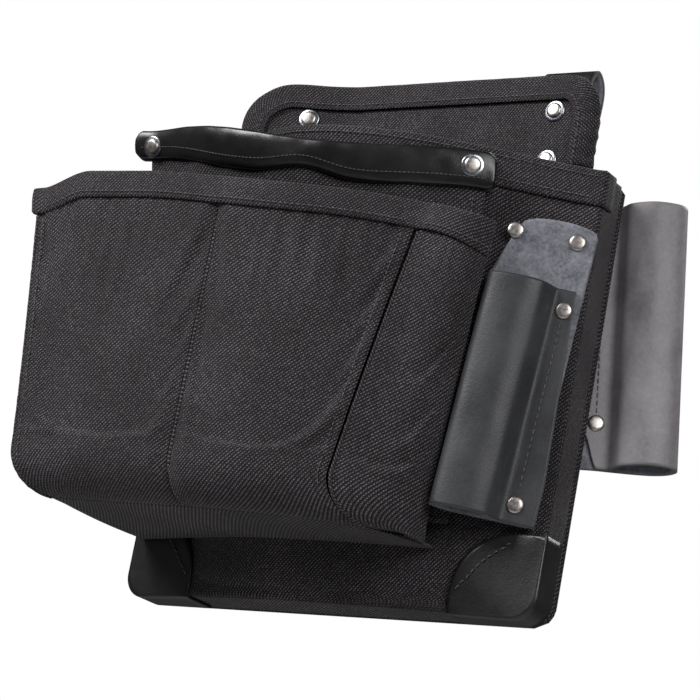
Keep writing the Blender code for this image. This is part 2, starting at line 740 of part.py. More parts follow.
def front_pouch():
    def wall_panel(name, start, end, bottom_inset, columns):
        def surface(u, v):
            p = lerp(start, end, u)
            return front_wall(p, lerp(FRONT_BOTTOM + bottom_inset, front_lip(p) - LIP_ROOM, v))
        return panel(name, surface, columns, 12, FABRIC, fabric(name))

    def bottom_surface(u, v):
        z = FRONT_BOTTOM
        rear = Vector((lerp(-133.0, 76.0, u), 0.0, z))
        rear.y = -main_depth(rear.x, z) - 3.0
        front = front_wall(lerp(1.02, 1.97, u), z) + Vector((0.0, FABRIC + 1.4, 0.0))
        return rear.lerp(front, v) + Vector((0.0, 0.0, -1.6 - 1.5 * math.sin(math.pi * v)))

    def divider_surface(u, v):
        x = FRONT_CREASE
        z = lerp(FRONT_BOTTOM + 6.0, FRONT_LIP - FRONT_HEM - 7.0, v)
        rear = max(second_depth(x, z), main_depth(x, z)) + 1.0
        return Vector((x, -lerp(rear, front_depth(x, z) - FABRIC - 1.0, u), z))

    crease = 1.0 + (FRONT_CREASE - front_left(FRONT_LIP)) / (front_right(FRONT_LIP) - front_left(FRONT_LIP))
    wall_panel("front_pouch_left_gusset", 0.02, 0.95, 2.0, 12)
    wall_panel("front_pouch_left_panel", 1.006, crease - 0.003, 0.0, 12)
    wall_panel("front_pouch_right_panel", crease + 0.003, 2.0, 0.0, 12)
    wall_panel("front_pouch_right_gusset", 2.035, 2.96, 2.0, 8)
    panel("front_pouch_bottom", bottom_surface, 16, 6, FABRIC, fabric("front_pouch_bottom"))
    panel("front_pouch_divider", divider_surface, 4, 8, FABRIC, fabric("front_pouch_divider"))
    stations = [0.1, *steps(0.2, 0.8, 4), 0.93, 1.0, *steps(1.07, 1.93, 22), 2.0, *steps(2.12, 2.92, 7)]
    hem("front_pouch_hem", front_wall, stations, front_lip, front_hem, HEM, fabric("front_pouch_hem"))


# ---------------------------------------------------------------- leather pieces that swing

def plier_holder(bag_panel):
    frame = Frame(HOLDER_PLACE, HOLDER_TURN, HOLDER_TILT)
    section = spline([
        (28.5, -LEATHER), (20.0, -LEATHER), (8.0, -2.8), (-10.0, -3.0), (-20.0, -2.0), (-26.0, 4.5), (-22.0, 11.5),
        (-6.0, 15.0), (5.0, 12.5), (10.0, 7.5), (12.5, 3.8), (14.8, FLANGE), (22.0, FLANGE), (31.0, FLANGE),
    ], 33)

    def sleeve_surface(u, v):
        point = along(section, u)
        top = lerp(HOLDER_BEND - 0.6, HOLDER_MOUTH, smooth(0.34, 0.47, u))
        up = lerp(HOLDER_FOOT, top, v)
        across = point.x
        if u > 0.85:
            across += lerp(-7.0, 2.0, min((top - up) / 110.0, 1.0)) * (u - 0.85) / 0.15
        return frame.at(across, up, point.y)

    def head_surface(u, v):
        corner = 6.0 * (1.0 - math.sin(math.pi * min(max(u, 0.0), 1.0)) ** 0.35)
        return frame.at(lerp(-25.5, 28.5, u), lerp(HOLDER_BEND + 0.6, HOLDER_TOP - corner, v), 0.0)

    head = panel("plier_holder_head", head_surface, 10, 3, LEATHER, grey_leather("plier_holder_head"))
    sleeve = panel("plier_holder_sleeve", sleeve_surface, 32, 10, LEATHER, grey_leather("plier_holder_sleeve"))
    for side, across in zip(("left", "right"), HOLDER_RIVETS):
        point = frame.at(across, -1.5, -LEATHER / 2)
        depth = -point.y - main_depth(point.x, point.z)
        rear = LEATHER / 2 + max(depth, 0.0) + FABRIC + 2.0
        rivet("plier_holder_rivet_" + side, point, frame.out, LEATHER / 2 + 0.2, rear)
        drill(point, frame.out, 44.0, head, bag_panel)
    moving = [sleeve]
    for row, up in zip(("upper", "lower"), HOLDER_SEAM_RIVETS):
        half = LEATHER + GAP
        point = frame.at(HOLDER_SEAM, up, (FLANGE - LEATHER) / 2)
        moving.append(rivet("plier_seam_rivet_" + row, point, frame.out, half, half))
        drill(point, frame.out, 12.0, sleeve)
    hang("plier_holder_bend", frame.at(0.0, HOLDER_BEND, -LEATHER / 2), moving)


def side_sleeve(front, core, rear):
    frame = Frame(SIDE_PLACE, SIDE_TURN, SIDE_TILT)
    section = spline([
        (-14.5, -LEATHER), (-9.0, -LEATHER), (0.0, -LEATHER), (12.0, -3.5), (28.0, -4.0), (39.0, -0.5),
        (43.5, 7.0), (38.5, 14.5), (25.0, 17.0), (12.0, 12.5), (7.5, 7.0), (5.5, 3.8), (3.2, FLANGE), (-2.5, FLANGE),
        (-8.5, FLANGE),
    ], 35)

    def surface(u, v):
        point = along(section, 1.0 - u)
        top = SIDE_TOP - 3.0 * smooth(0.55, 1.0, u)
        foot = SIDE_FOOT + 20.0 * smooth(-1.0, -9.0, point.x) * smooth(0.4, 0.2, u)
        return frame.at(point.x, lerp(foot, top, v), point.y)

    def tab_surface(u, v):
        up = lerp(SIDE_FOOT + 16.0, SIDE_TOP - 4.0, v)
        edge = frame.at(SIDE_BEND - TAB_CLEAR, up)
        clear = REAR_FACE + GAP
        return Vector((edge.x - TAB_REACH * (1.0 - u), lerp(clear, edge.y, smooth(0.8, 1.0, u)), edge.z))

    sleeve = panel("side_sleeve", surface, 34, 10, LEATHER, grey_leather("side_sleeve"))
    tab = panel("side_sleeve_tab", tab_surface, 6, 8, LEATHER, grey_leather("side_sleeve_tab"))
    moving = [sleeve]
    for row, up in zip(("upper", "lower"), SIDE_SEAM_RIVETS):
        half = LEATHER + GAP
        point = frame.at(SIDE_SEAM, up, (FLANGE - LEATHER) / 2)
        moving.append(rivet("side_seam_rivet_" + row, point, frame.out, half, half))
        drill(point, frame.out, 12.0, sleeve)
    hang("side_sleeve_bend", frame.at(SIDE_BEND, 0.0, -LEATHER / 2), moving)
    for row, up in zip(("upper", "lower"), TAB_RIVETS):
        edge = frame.at(SIDE_BEND - TAB_CLEAR, up)
        x = edge.x - TAB_REACH * 0.53
        thick = REAR_FACE + GAP + LEATHER
        centre = (x, thick / 2, edge.z)
        rivet("tab_rivet_" + row, centre, (0.0, -1.0, 0.0), thick / 2 + 0.3, thick / 2 + 0.3)
        drill(centre, (0.0, 1.0, 0.0), 24.0, front, rear, tab)


def main():
    front, core, rear = build_back()
    build_yoke_hem()
    loops = {"left": build_loop("left", -LOOP_CENTRE), "right": build_loop("right", LOOP_CENTRE)}
    fasten_loops(front, core, rear, loops)
    bag_panel = main_panel()
    main_gusset()
    main_hem()
    corner_patch("left", -1.0)
    corner_patch("right", 1.0)
    second_pouch()
    front_pouch()
    plier_holder(bag_panel)
    side_sleeve(front, core, rear)


main()
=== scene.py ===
"""The look of an electrician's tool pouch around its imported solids: sewn nylon pouches, a leather lip, two
hanging leather sleeves, rivets and stitching. Sizes are in millimetres, in the same bag frame as the
solids."""
import json
import math

import bmesh
import bpy
from mathutils import Matrix, Vector, noise


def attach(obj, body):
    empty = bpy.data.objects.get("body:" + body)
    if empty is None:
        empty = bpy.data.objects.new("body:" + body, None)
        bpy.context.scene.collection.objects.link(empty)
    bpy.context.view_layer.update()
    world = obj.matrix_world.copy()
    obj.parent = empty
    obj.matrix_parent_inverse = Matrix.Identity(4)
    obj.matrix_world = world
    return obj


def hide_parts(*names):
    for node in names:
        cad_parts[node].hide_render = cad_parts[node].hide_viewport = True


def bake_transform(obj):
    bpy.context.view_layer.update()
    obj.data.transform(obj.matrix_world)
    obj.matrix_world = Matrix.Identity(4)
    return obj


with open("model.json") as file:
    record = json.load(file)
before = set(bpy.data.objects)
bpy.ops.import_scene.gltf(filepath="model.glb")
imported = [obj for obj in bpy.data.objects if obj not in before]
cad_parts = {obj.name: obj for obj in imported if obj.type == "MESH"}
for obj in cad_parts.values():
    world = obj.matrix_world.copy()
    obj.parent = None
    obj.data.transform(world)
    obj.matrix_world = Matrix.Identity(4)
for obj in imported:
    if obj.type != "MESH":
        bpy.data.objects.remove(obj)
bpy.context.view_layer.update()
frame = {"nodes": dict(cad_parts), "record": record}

MM = 0.001
GAP = 0.4                    # clearance between pieces that touch
LIP_ROOM = 0.6               # and over a pouch's lip, inside its hem
FABRIC = 1.5                 # ballistic nylon with its lining
HEM = 1.3
LEATHER = 2.2
FLANGE = GAP + LEATHER       # outer face of the upper leaf where a sleeve's two leaves are riveted together

# Back panel: two fabric skins on a stiffener. Its upper part is the yoke.
SKIN = 1.2
STIFFENER = 2.0
REAR_FACE = 2 * SKIN + STIFFENER + 2 * GAP
BACK_HALF = 138.0
YOKE_HALF = 124.0
YOKE_TOP_HALF = 102.0
YOKE_RIGHT_HALF = 113.0      # its right end is gathered, so it reaches less far round
YOKE_TOP_RIGHT_HALF = 100.0
YOKE_TOP = 330.0
YOKE_SHOULDERS = (250.0, 272.0)
RIGHT_SHOULDERS = (255.0, 270.0)
YOKE_CHAMFER = 308.0
YOKE_FOLD = 100.0            # the yoke's right end is bent back from here
YOKE_FOLD_RADIUS = 9.0
YOKE_PULL = 20.0             # and its left end is pulled this far forward
YOKE_HEM = 14.0
YOKE_ROOM = 1.1              # clearance inside the yoke's hem

# Main bag
MAIN_CENTRE = -20.0          # where the front panel stands out most
MAIN_SIDE_DEPTH = 20.0
MAIN_LIP = 261.0
MAIN_LIP_DROP = 3.0
MAIN_BULGE = (12.0, 78.0)    # at the bottom and at the lip, beyond the sides
MAIN_HEM = 20.0
BAG_CORNER = 12.0
PATCH = (50.0, 46.0)         # leather corner, along the bottom and up the side
PATCH_LEATHER = 1.6

# Second pouch: a wedge that opens to the left
SECOND_LEFT, SECOND_RIGHT = -122.0, 86.0
SECOND_BOTTOM, SECOND_LIP = 46.0, 258.0
SECOND_LAYER = 9.5
SECOND_OPENING = 65.0
LIP_SAG = 11.0               # how far the lip hangs between its rivets
LIP_HEIGHT = 20.0
LIP_RIVETS = (-119.0, 79.0)
LIP_RIVET_DROP = 7.0

# Front pouch: a box with two pockets
FRONT_LIP = 222.0
FRONT_BOTTOM = 33.0
FRONT_CREASE = -46.0
FRONT_DEPTH = 128.0
FRONT_HEM = 15.0

# Rivets
HEAD_RADIUS = 4.8
HEAD_HEIGHT = 1.5
BURR = 0.8
SHANK_RADIUS = 2.0
HOLE_RADIUS = 2.3
WASHER_RADIUS = 6.6
WASHER_HEIGHT = 0.8
YOKE_RIVET_X = 85.0
YOKE_RIVET_HEIGHTS = (307.0, 276.0)
LOOP_FOOT_RIVET = 214.0

# Belt loops
LOOP_CENTRE = 83.0
LOOP_WIDTH = 34.0
LOOP_LEATHER = 2.4
LOOP_CRESTS = {"left": 333.0, "right": 339.0}
LOOP_ENDS = (262.0, 203.0)
LOOP_FACE = REAR_FACE + YOKE_ROOM + HEM + GAP
BELT_TOP = LOOP_CRESTS["right"] - LOOP_LEATHER - 0.5

# Plier holder: a flat frame over the right of the main front panel
HOLDER_PLACE = (117.0, -37.5, 215.5)
HOLDER_TURN, HOLDER_TILT = 25.0, 5.0
HOLDER_TOP, HOLDER_BEND, HOLDER_MOUTH, HOLDER_FOOT = 9.0, -10.0, -30.0, -165.0
HOLDER_RIVETS = (-17.5, 18.0)
HOLDER_SEAM_RIVETS = (-42.0, -154.5)
HOLDER_SEAM = 20.0

# Side sleeve: a flat frame behind the bag's right edge
SIDE_PLACE = (127.0, 14.4, 232.0)
SIDE_TURN, SIDE_TILT = 32.0, -7.0
SIDE_TOP, SIDE_FOOT = 18.0, -139.0
SIDE_BEND = -15.0
SIDE_SEAM = -2.6
SIDE_SEAM_RIVETS = (1.0, -112.5)
TAB_RIVETS = (-6.0, -100.0)
TAB_REACH = 11.0
TAB_CLEAR = 1.3              # from the bend line, so the sleeve can swing back

# What only the look has
CORE = SKIN * 0.8            # the skins are thinner here, so their ripples stay clear of the stiffener
HEM_SHARES = (1.0, 0.92, 0.78, 0.64, 0.5, 0.36, 0.2)    # a hem's rows, as shares of its height
STITCH_LIFT = 0.7
HEM_STITCH_DEPTH = 0.78      # down a hem, as a share of its height
STITCH_RINGS = (             # along a stitch, and its thickness and rise there
    (-0.5, 0.45, -0.5), (-0.34, 0.95, 0.25), (0.0, 1.0, 0.5), (0.34, 0.95, 0.25), (0.5, 0.45, -0.5),
)
CORNER_STITCH = {"gap": 4.2, "length": 3.1, "radius": 0.42}
LIP_STITCH = {"gap": 2.6, "length": 2.1, "radius": 0.42}
SLEEVE_STITCH = {"gap": 4.4, "length": 3.3, "radius": 0.45}
FOLD_ROW = 0.25              # the share of a corner patch's rows that lies on the gusset
SECOND_DIVIDER = -16.0
FRONT_ROLL = 24.0            # radius of the turn under the front pouch
ROLL_SHARE = 0.18            # the share of its rows that makes that turn
SETTLE_FRAMES = 24
HELD_ROWS = 2                # rows and columns that sewing holds along a panel's edge
WORLD_LIGHT = 0.05           # the background looks white but lights the pouch only a little
FLOOR_HEIGHT = -1.7          # in metres, as are the camera's place and the lamps' aim
CAMERA_PLACE = (0.91954, -1.33709, -0.62995)
LAMP_AIM = (0.0, -0.05, -0.17)
FORWARD = (0.0, -1.0, 0.0)


ORIGIN = Vector((0.0, REAR_FACE, BELT_TOP))


def lerp(start, end, t):
    return start + (end - start) * t


def smooth(start, end, value):
    t = min(max((value - start) / (end - start), 0.0), 1.0)
    return t * t * (3.0 - 2.0 * t)


def place(point):
    """A point in bag millimetres as a Vector in metres about the part's origin."""
    return (Vector(point) - ORIGIN) * MM


def towards(direction):
    return Vector(direction).to_track_quat("Z", "Y").to_matrix().to_4x4()


def spline(points, count):
    """count points spaced evenly along a Catmull-Rom curve through the given ones."""
    knots = [Vector(point) for point in points]
    knots = [2 * knots[0] - knots[1], *knots, 2 * knots[-1] - knots[-2]]
    dense = []
    for a, b, c, d in zip(knots, knots[1:], knots[2:], knots[3:]):
        for step in range(12):
            t = step / 12
            bend = (2 * a - 5 * b + 4 * c - d) * t * t
            dense.append(0.5 * (2 * b + (c - a) * t + bend + (3 * b - a - 3 * c + d) * t ** 3))
    dense.append(knots[-2])
    lengths = [0.0]
    for first, second in zip(dense, dense[1:]):
        lengths.append(lengths[-1] + (second - first).length)
    even = []
    index = 0
    for number in range(count):
        want = lengths[-1] * number / (count - 1)
        while index < len(dense) - 2 and lengths[index + 1] < want:
            index += 1
        t = (want - lengths[index]) / (lengths[index + 1] - lengths[index])
        even.append(dense[index].lerp(dense[index + 1], min(max(t, 0.0), 1.0)))
    return even


def along(points, t):
    """The point at fraction t of a list of evenly spaced points."""
    position = min(max(t, 0.0), 1.0) * (len(points) - 1)
    index = min(int(position), len(points) - 2)
    return points[index].lerp(points[index + 1], position - index)


class Frame:
    """A flat frame for a hanging leather piece. Its up axis leans sideways by tilt and stays parallel to the
    back panel, and the piece is turned back about that axis."""

    def __init__(self, centre, turn, tilt):
        turn, tilt = math.radians(turn), math.radians(tilt)
        side = Vector((math.cos(tilt), 0.0, -math.sin(tilt)))
        back = Vector((0.0, 1.0, 0.0))
        self.centre = Vector(centre)
        self.up = Vector((math.sin(tilt), 0.0, math.cos(tilt)))
        self.across = side * math.cos(turn) + back * math.sin(turn)
        self.out = side * math.sin(turn) - back * math.cos(turn)

    def at(self, across, up, out=0.0):
        return self.centre + self.across * across + self.up * up + self.out * out


# ---------------------------------------------------------------- the bag's surfaces

def rounded_half(half, z):
    """A half width whose bottom corner is rounded."""
    if z >= BAG_CORNER:
        return half
    return half - BAG_CORNER + math.sqrt(max(BAG_CORNER ** 2 - (BAG_CORNER - z) ** 2, 0.0))


def main_lip(x):
    return MAIN_LIP - MAIN_LIP_DROP * (x / BACK_HALF) ** 2


def main_depth(x, z):
    """How far the main front panel's outer face stands from the back panel."""
    height = min(max(z / MAIN_LIP, 0.0), 1.05)
    bulge = lerp(*MAIN_BULGE, height ** 1.15)
    reach = BACK_HALF - MAIN_CENTRE if x > MAIN_CENTRE else BACK_HALF + MAIN_CENTRE
    side = min(abs(x - MAIN_CENTRE) / reach, 1.0)
    return MAIN_SIDE_DEPTH + bulge * (1.0 - side * side) ** 1.4


def main_wall(p, z):
    """Round the main bag: 0 to 1 is the left gusset, 1 to 2 the front and 2 to 3 the right gusset."""
    if p < 1.0:
        return Vector((-BACK_HALF, -MAIN_SIDE_DEPTH * p, z))
    if p > 2.0:
        return Vector((BACK_HALF, -MAIN_SIDE_DEPTH * (3.0 - p), z))
    x = rounded_half(BACK_HALF, z) * (2.0 * p - 3.0)
    return Vector((x, -main_depth(x, z), z))


def second_depth(x, z):
    height = min(max((z - SECOND_BOTTOM) / (SECOND_LIP - SECOND_BOTTOM), 0.0), 1.05)
    open_to_left = (max(SECOND_RIGHT - x, 0.0) / (SECOND_RIGHT - SECOND_LEFT)) ** 3
    return main_depth(x, z) + SECOND_LAYER + SECOND_OPENING * open_to_left * height ** 0.9


def second_lip(x):
    """The lip hangs between its two rivets, lowest near the middle."""
    return SECOND_LIP - LIP_SAG * smooth(-105.0, 0.0, x) * (1.0 - 0.6 * smooth(10.0, 90.0, x))


def lip_height(x):
    """The leather narrows at its left end and where it is pinched."""
    pinch = math.exp(-((x + 8.0) / 20.0) ** 2)
    return LIP_HEIGHT - 6.0 * smooth(-55.0, -122.0, x) - 6.0 * pinch


def second_wall(p, z):
    x = lerp(SECOND_LEFT, SECOND_RIGHT, p)
    return Vector((x, -second_depth(x, z), z))


def front_height(z):
    return min(max((z - FRONT_BOTTOM) / (FRONT_LIP - FRONT_BOTTOM), 0.0), 1.0)


def front_left(z):
    """The front pouch's left edge, which narrows downwards."""
    return -147.0 - 24.0 * front_height(z) ** 1.2


def front_right(z):
    return 41.0 + 21.0 * front_height(z) ** 1.1


def front_lip(p):
    """The lip droops at its left corner, falls towards the right and rises a little at its right seam."""
    left_corner = smooth(0.0, 1.0, p) - smooth(1.0, 1.15, p)
    right_seam = smooth(1.5, 2.0, p) - smooth(2.0, 2.5, p)
    fall = 6.3 * smooth(1.3, 1.75, p) + 2.0 * smooth(2.2, 3.0, p)
    return FRONT_LIP - 11.0 * left_corner + 3.0 * right_seam - fall


def front_hem(p):
    """The hem's height, which grows towards the right gusset's rear edge."""
    return FRONT_HEM + 4.5 * smooth(2.2, 3.0, p)


def front_depth(x, z):
    depth = FRONT_DEPTH + 10.0 * max(FRONT_CREASE - x, 0.0) / 114.0
    if x > FRONT_CREASE:
        depth -= lerp(38.0, 44.5, front_height(z)) * ((x - FRONT_CREASE) / 100.0) ** 1.77
    return depth - 14.0 * smooth(60.0, FRONT_BOTTOM, z) ** 2


def front_wall(p, z):
    """Round the front pouch: 0 to 1 is the left gusset, 1 to 2 the front and 2 to 3 the right gusset."""
    height = front_height(z)
    left, right = front_left(z), front_right(z)
    if p < 1.0:
        front = Vector((left, -front_depth(left, z), z))
        rear_x = lerp(-136.0, -124.5, height ** 0.5)
        rear = Vector((rear_x, -second_depth(SECOND_LEFT, z) + 4.0, z))
        return rear.lerp(front, p) + Vector((-8.0 * math.sin(math.pi * p) * height, 0.0, 0.0))
    if p > 2.0:
        front = Vector((right, -front_depth(right, z), z))
        rear_x = 77.0 + 21.0 * height ** 1.2
        rear = Vector((rear_x, -main_depth(rear_x, z) - 12.0 - 3.5 * height, z))
        return front.lerp(rear, p - 2.0) + Vector((7.0, -4.0, 0.0)) * math.sin(math.pi * (p - 2.0))
    x = lerp(left, right, p - 1.0)
    return Vector((x, -front_depth(x, z), z))


def outward(wall, p, z, step=0.004):
    """The level normal of a wall. At a corner it is the mitre."""
    before = wall(p, z) - wall(p - step, z)
    after = wall(p + step, z) - wall(p, z)
    before.z = after.z = 0.0
    sides = [Vector((leg.y, -leg.x, 0.0)).normalized() for leg in (before, after)]
    middle = (sides[0] + sides[1]).normalized()
    return middle / max(middle.dot(sides[0]), 0.5)


def steps(start, end, count):
    return [lerp(start, end, index / count) for index in range(count + 1)]


def yoke_place(x, z, behind):
    """Where a point of the back panel lies; behind is its depth in the panel. The yoke's right end folds
    back and its left end comes forward."""
    raised = smooth(254.0, 290.0, z)
    if x < -50.0:
        pull = YOKE_PULL * smooth(248.0, 304.0, z) * smooth(-50.0, -YOKE_HALF - 14.0, x)
        return Vector((x, behind - pull, z))
    past = x - YOKE_FOLD
    if past <= 0.0 or raised == 0.0:
        return Vector((x, behind, z))
    turn = math.radians(88.0) * raised
    arc = min(past / YOKE_FOLD_RADIUS, turn)
    rest = max(past - YOKE_FOLD_RADIUS * turn, 0.0)
    inner = YOKE_FOLD_RADIUS - behind
    return Vector((
        YOKE_FOLD + inner * math.sin(arc) + rest * math.cos(arc),
        YOKE_FOLD_RADIUS - inner * math.cos(arc) + rest * math.sin(arc),
        z,
    ))


def back_half(z, right=False):
    shoulders, yoke_half, top_half = YOKE_SHOULDERS, YOKE_HALF, YOKE_TOP_HALF
    if right:
        shoulders, yoke_half, top_half = RIGHT_SHOULDERS, YOKE_RIGHT_HALF, YOKE_TOP_RIGHT_HALF
    half = lerp(rounded_half(BACK_HALF, z), yoke_half, smooth(*shoulders, z))
    if z > YOKE_CHAMFER:
        half = lerp(half, top_half, ((z - YOKE_CHAMFER) / (YOKE_TOP - YOKE_CHAMFER)) ** 1.6)
    return half


def back_x(column, z):
    """Across the back panel: column is -1 at its left edge and 1 at its right."""
    return column * back_half(z, column > 0.0)


SKIN_TOP = YOKE_TOP - YOKE_ROOM - HEM


# ---------------------------------------------------------------- materials

def new_material(name):
    made = bpy.data.materials.new(name)
    made.use_nodes = True
    tree = made.node_tree
    return made, tree, tree.nodes["Principled BSDF"]


def maths(tree, operation, first, second=0.0):
    node = tree.nodes.new("ShaderNodeMath")
    node.operation = operation
    for socket, value in zip(node.inputs, (first, second)):
        if isinstance(value, (int, float)):
            socket.default_value = value
        else:
            tree.links.new(value, socket)
    return node.outputs[0]


def fill(node, **values):
    """Sets a node's inputs by name, with underscores for spaces."""
    for name, value in values.items():
        node.inputs[name.replace("_", " ")].default_value = value


def cloud(tree, coordinates, scale, detail=3.0, roughness=0.55):
    node = tree.nodes.new("ShaderNodeTexNoise")
    fill(node, Scale=scale, Detail=detail, Roughness=roughness)
    tree.links.new(coordinates, node.inputs["Vector"])
    return node.outputs["Fac"]


def ramp(tree, factor, *stops):
    node = tree.nodes.new("ShaderNodeValToRGB")
    while len(node.color_ramp.elements) < len(stops):
        node.color_ramp.elements.new(0.5)
    for element, (position, colour) in zip(node.color_ramp.elements, stops):
        element.position = position
        element.color = (*colour, 1.0)
    tree.links.new(factor, node.inputs["Fac"])
    return node.outputs["Color"]


def grey(value):
    return (value, value, value)


def paint(tree, shader, factor, *stops):
    tree.links.new(ramp(tree, factor, *stops), shader.inputs["Base Color"])


def bump(tree, shader, height, strength, distance):
    node = tree.nodes.new("ShaderNodeBump")
    fill(node, Strength=strength, Distance=distance)
    tree.links.new(height, node.inputs["Height"])
    tree.links.new(node.outputs["Normal"], shader.inputs["Normal"])


def object_space(tree):
    return tree.nodes.new("ShaderNodeTexCoord").outputs["Object"]


def woven(name, dark, light, pitch=2.5, strength=1.0):
    """Ballistic nylon: diagonal ribs laid out in the cloth's own millimetres."""
    made, tree, shader = new_material(name)
    laid = tree.nodes.new("ShaderNodeAttribute")
    laid.attribute_name = "cloth"
    axes = tree.nodes.new("ShaderNodeSeparateXYZ")
    tree.links.new(laid.outputs["Vector"], axes.inputs["Vector"])
    turn = 2.0 * math.pi / pitch
    rising = maths(tree, "ADD", axes.outputs["Y"], axes.outputs["X"])
    falling = maths(tree, "SUBTRACT", axes.outputs["Y"], axes.outputs["X"])
    rib = maths(tree, "SINE", maths(tree, "MULTIPLY", falling, turn))
    notch = maths(tree, "SINE", maths(tree, "MULTIPLY", rising, turn))
    over = maths(tree, "MULTIPLY", rib, maths(tree, "ADD", maths(tree, "MULTIPLY", notch, 0.5), 0.6))
    space = object_space(tree)
    slub = cloud(tree, space, 900.0, 2.0)
    uneven = maths(tree, "MULTIPLY", maths(tree, "SUBTRACT", slub, 0.5), 1.1)
    height = maths(tree, "ADD", maths(tree, "MULTIPLY", over, 0.5), uneven)
    fade = maths(tree, "MULTIPLY", maths(tree, "SUBTRACT", cloud(tree, space, 22.0, 4.0), 0.5), 0.22)
    tone = maths(tree, "ADD", maths(tree, "MULTIPLY", height, 0.5), maths(tree, "ADD", fade, 0.5))
    middle = [lerp(low, high, 0.07) for low, high in zip(dark, light)]
    paint(tree, shader, tone, (0.3, dark), (0.56, middle), (0.92, light))
    fill(shader, Roughness=0.82, Specular_IOR_Level=0.35, Sheen_Weight=0.12, Sheen_Roughness=0.5)
    bump(tree, shader, height, strength, 0.0005)
    return made


def leather(name, dark, light, rough, grain=0.35, coat=0.0):
    """Grain side: fine pebbled cells with slow changes of tone and gloss."""
    made, tree, shader = new_material(name)
    space = object_space(tree)
    cells = tree.nodes.new("ShaderNodeTexVoronoi")
    fill(cells, Scale=850.0)
    tree.links.new(space, cells.inputs["Vector"])
    slow = cloud(tree, space, 28.0, 5.0, 0.6)
    fine = cloud(tree, space, 420.0, 4.0)
    height = maths(tree, "ADD", maths(tree, "MULTIPLY", cells.outputs["Distance"], 0.6), fine)
    tone = maths(tree, "ADD", maths(tree, "MULTIPLY", slow, 0.75), maths(tree, "MULTIPLY", fine, 0.25))
    paint(tree, shader, tone, (0.3, dark), (0.72, light))
    gloss = ramp(tree, slow, (0.25, grey(rough - 0.07)), (0.75, grey(rough + 0.1)))
    tree.links.new(gloss, shader.inputs["Roughness"])
    fill(shader, Coat_Weight=coat, Coat_Roughness=0.22)
    bump(tree, shader, height, grain, 0.0003)
    return made


def suede(name, dark, light):
    """Flesh side: matt, mottled and fibrous."""
    made, tree, shader = new_material(name)
    space = object_space(tree)
    nap = cloud(tree, space, 520.0, 6.0, 0.75)
    mottle = cloud(tree, space, 95.0, 6.0, 0.7)
    tone = maths(tree, "ADD", maths(tree, "MULTIPLY", nap, 0.5), maths(tree, "MULTIPLY", mottle, 0.5))
    paint(tree, shader, tone, (0.34, dark), (0.66, light))
    fill(shader, Roughness=0.95, Specular_IOR_Level=0.2, Sheen_Weight=0.3)
    bump(tree, shader, tone, 0.9, 0.0008)
    return made


def metal(name, colour, low, high):
    made, tree, shader = new_material(name)
    space = object_space(tree)
    wear = cloud(tree, space, 600.0, 5.0, 0.7)
    tree.links.new(ramp(tree, wear, (0.3, grey(low)), (0.7, grey(high))), shader.inputs["Roughness"])
    tint = [channel * 0.82 for channel in colour]
    paint(tree, shader, wear, (0.3, tint), (0.6, colour))
    fill(shader, Metallic=1.0)
    bump(tree, shader, wear, 0.12, 0.0002)
    return made


def thread(name, dark, light):
    made, tree, shader = new_material(name)
    twist = cloud(tree, object_space(tree), 1500.0, 2.0)
    paint(tree, shader, twist, (0.3, dark), (0.7, light))
    fill(shader, Roughness=0.55)
    bump(tree, shader, twist, 0.5, 0.0002)
    return made


CLOTH = woven("nylon_body", (0.002, 0.0016, 0.002), (0.38, 0.33, 0.37))
TAPE = woven("nylon_hem", (0.005, 0.0042, 0.005), (0.38, 0.33, 0.37), 2.3)
LIP = leather("leather_lip", (0.006, 0.006, 0.007), (0.017, 0.017, 0.019), 0.3, 0.2, 0.5)
CORNER = leather("leather_corner", (0.012, 0.012, 0.013), (0.034, 0.032, 0.034), 0.32, 0.22, 0.35)
CUT_EDGE = leather("leather_cut_edge", (0.008, 0.008, 0.008), (0.018, 0.017, 0.018), 0.85, 0.1)
STRAP = leather("leather_loop", (0.010, 0.010, 0.010), (0.024, 0.023, 0.022), 0.42, 0.25)
GRAIN = leather("leather_sleeve", (0.035, 0.036, 0.040), (0.075, 0.077, 0.084), 0.44, 0.3)
PALE = leather("leather_side", (0.19, 0.178, 0.192), (0.42, 0.395, 0.425), 0.45, 0.3)
NAP = suede("leather_flesh", (0.075, 0.080, 0.092), (0.40, 0.41, 0.46))
EDGE = suede("leather_edge", (0.075, 0.077, 0.080), (0.20, 0.20, 0.205))
DARK_EDGE = suede("leather_dark_edge", (0.03, 0.03, 0.031), (0.11, 0.108, 0.105))
NICKEL = metal("nickel_cap", (0.66, 0.61, 0.58), 0.26, 0.46)
STEEL = metal("steel_ring", (0.52, 0.55, 0.60), 0.2, 0.38)
THREAD = thread("thread_black", (0.02, 0.018, 0.02), (0.24, 0.22, 0.24))
BEAD = thread("thread_lip", (0.012, 0.012, 0.012), (0.12, 0.118, 0.12))
BOARD, _, board_shader = new_material("stiffener_board")
fill(board_shader, Base_Color=(0.05, 0.05, 0.05, 1.0))


# ---------------------------------------------------------------- pieces

BODIES = {node: body for body, nodes in frame["record"]["behaviour"]["bodies"].items() for node in nodes}


def add_object(name, data):
    obj = bpy.data.objects.new(name, data)
    bpy.context.scene.collection.objects.link(obj)
    return obj


def finish_piece(name, mesh, looks, node=None, body=None):
    """Links a mesh as a piece that rides on its node's body and stands for that node."""
    obj = add_object(name + "_piece", mesh)
    for look in looks:
        mesh.materials.append(look)
    for face in mesh.polygons:
        face.use_smooth = True
    if node:
        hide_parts(node)
    if body != "blend":
        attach(obj, body or BODIES[node])
    return obj


def apply_modifiers(obj):
    bpy.context.view_layer.update()
    graph = bpy.context.evaluated_depsgraph_get()
    mesh = bpy.data.meshes.new_from_object(
        obj.evaluated_get(graph), preserve_all_data_layers=True, depsgraph=graph)
    obj.modifiers.clear()
    obj.data = mesh


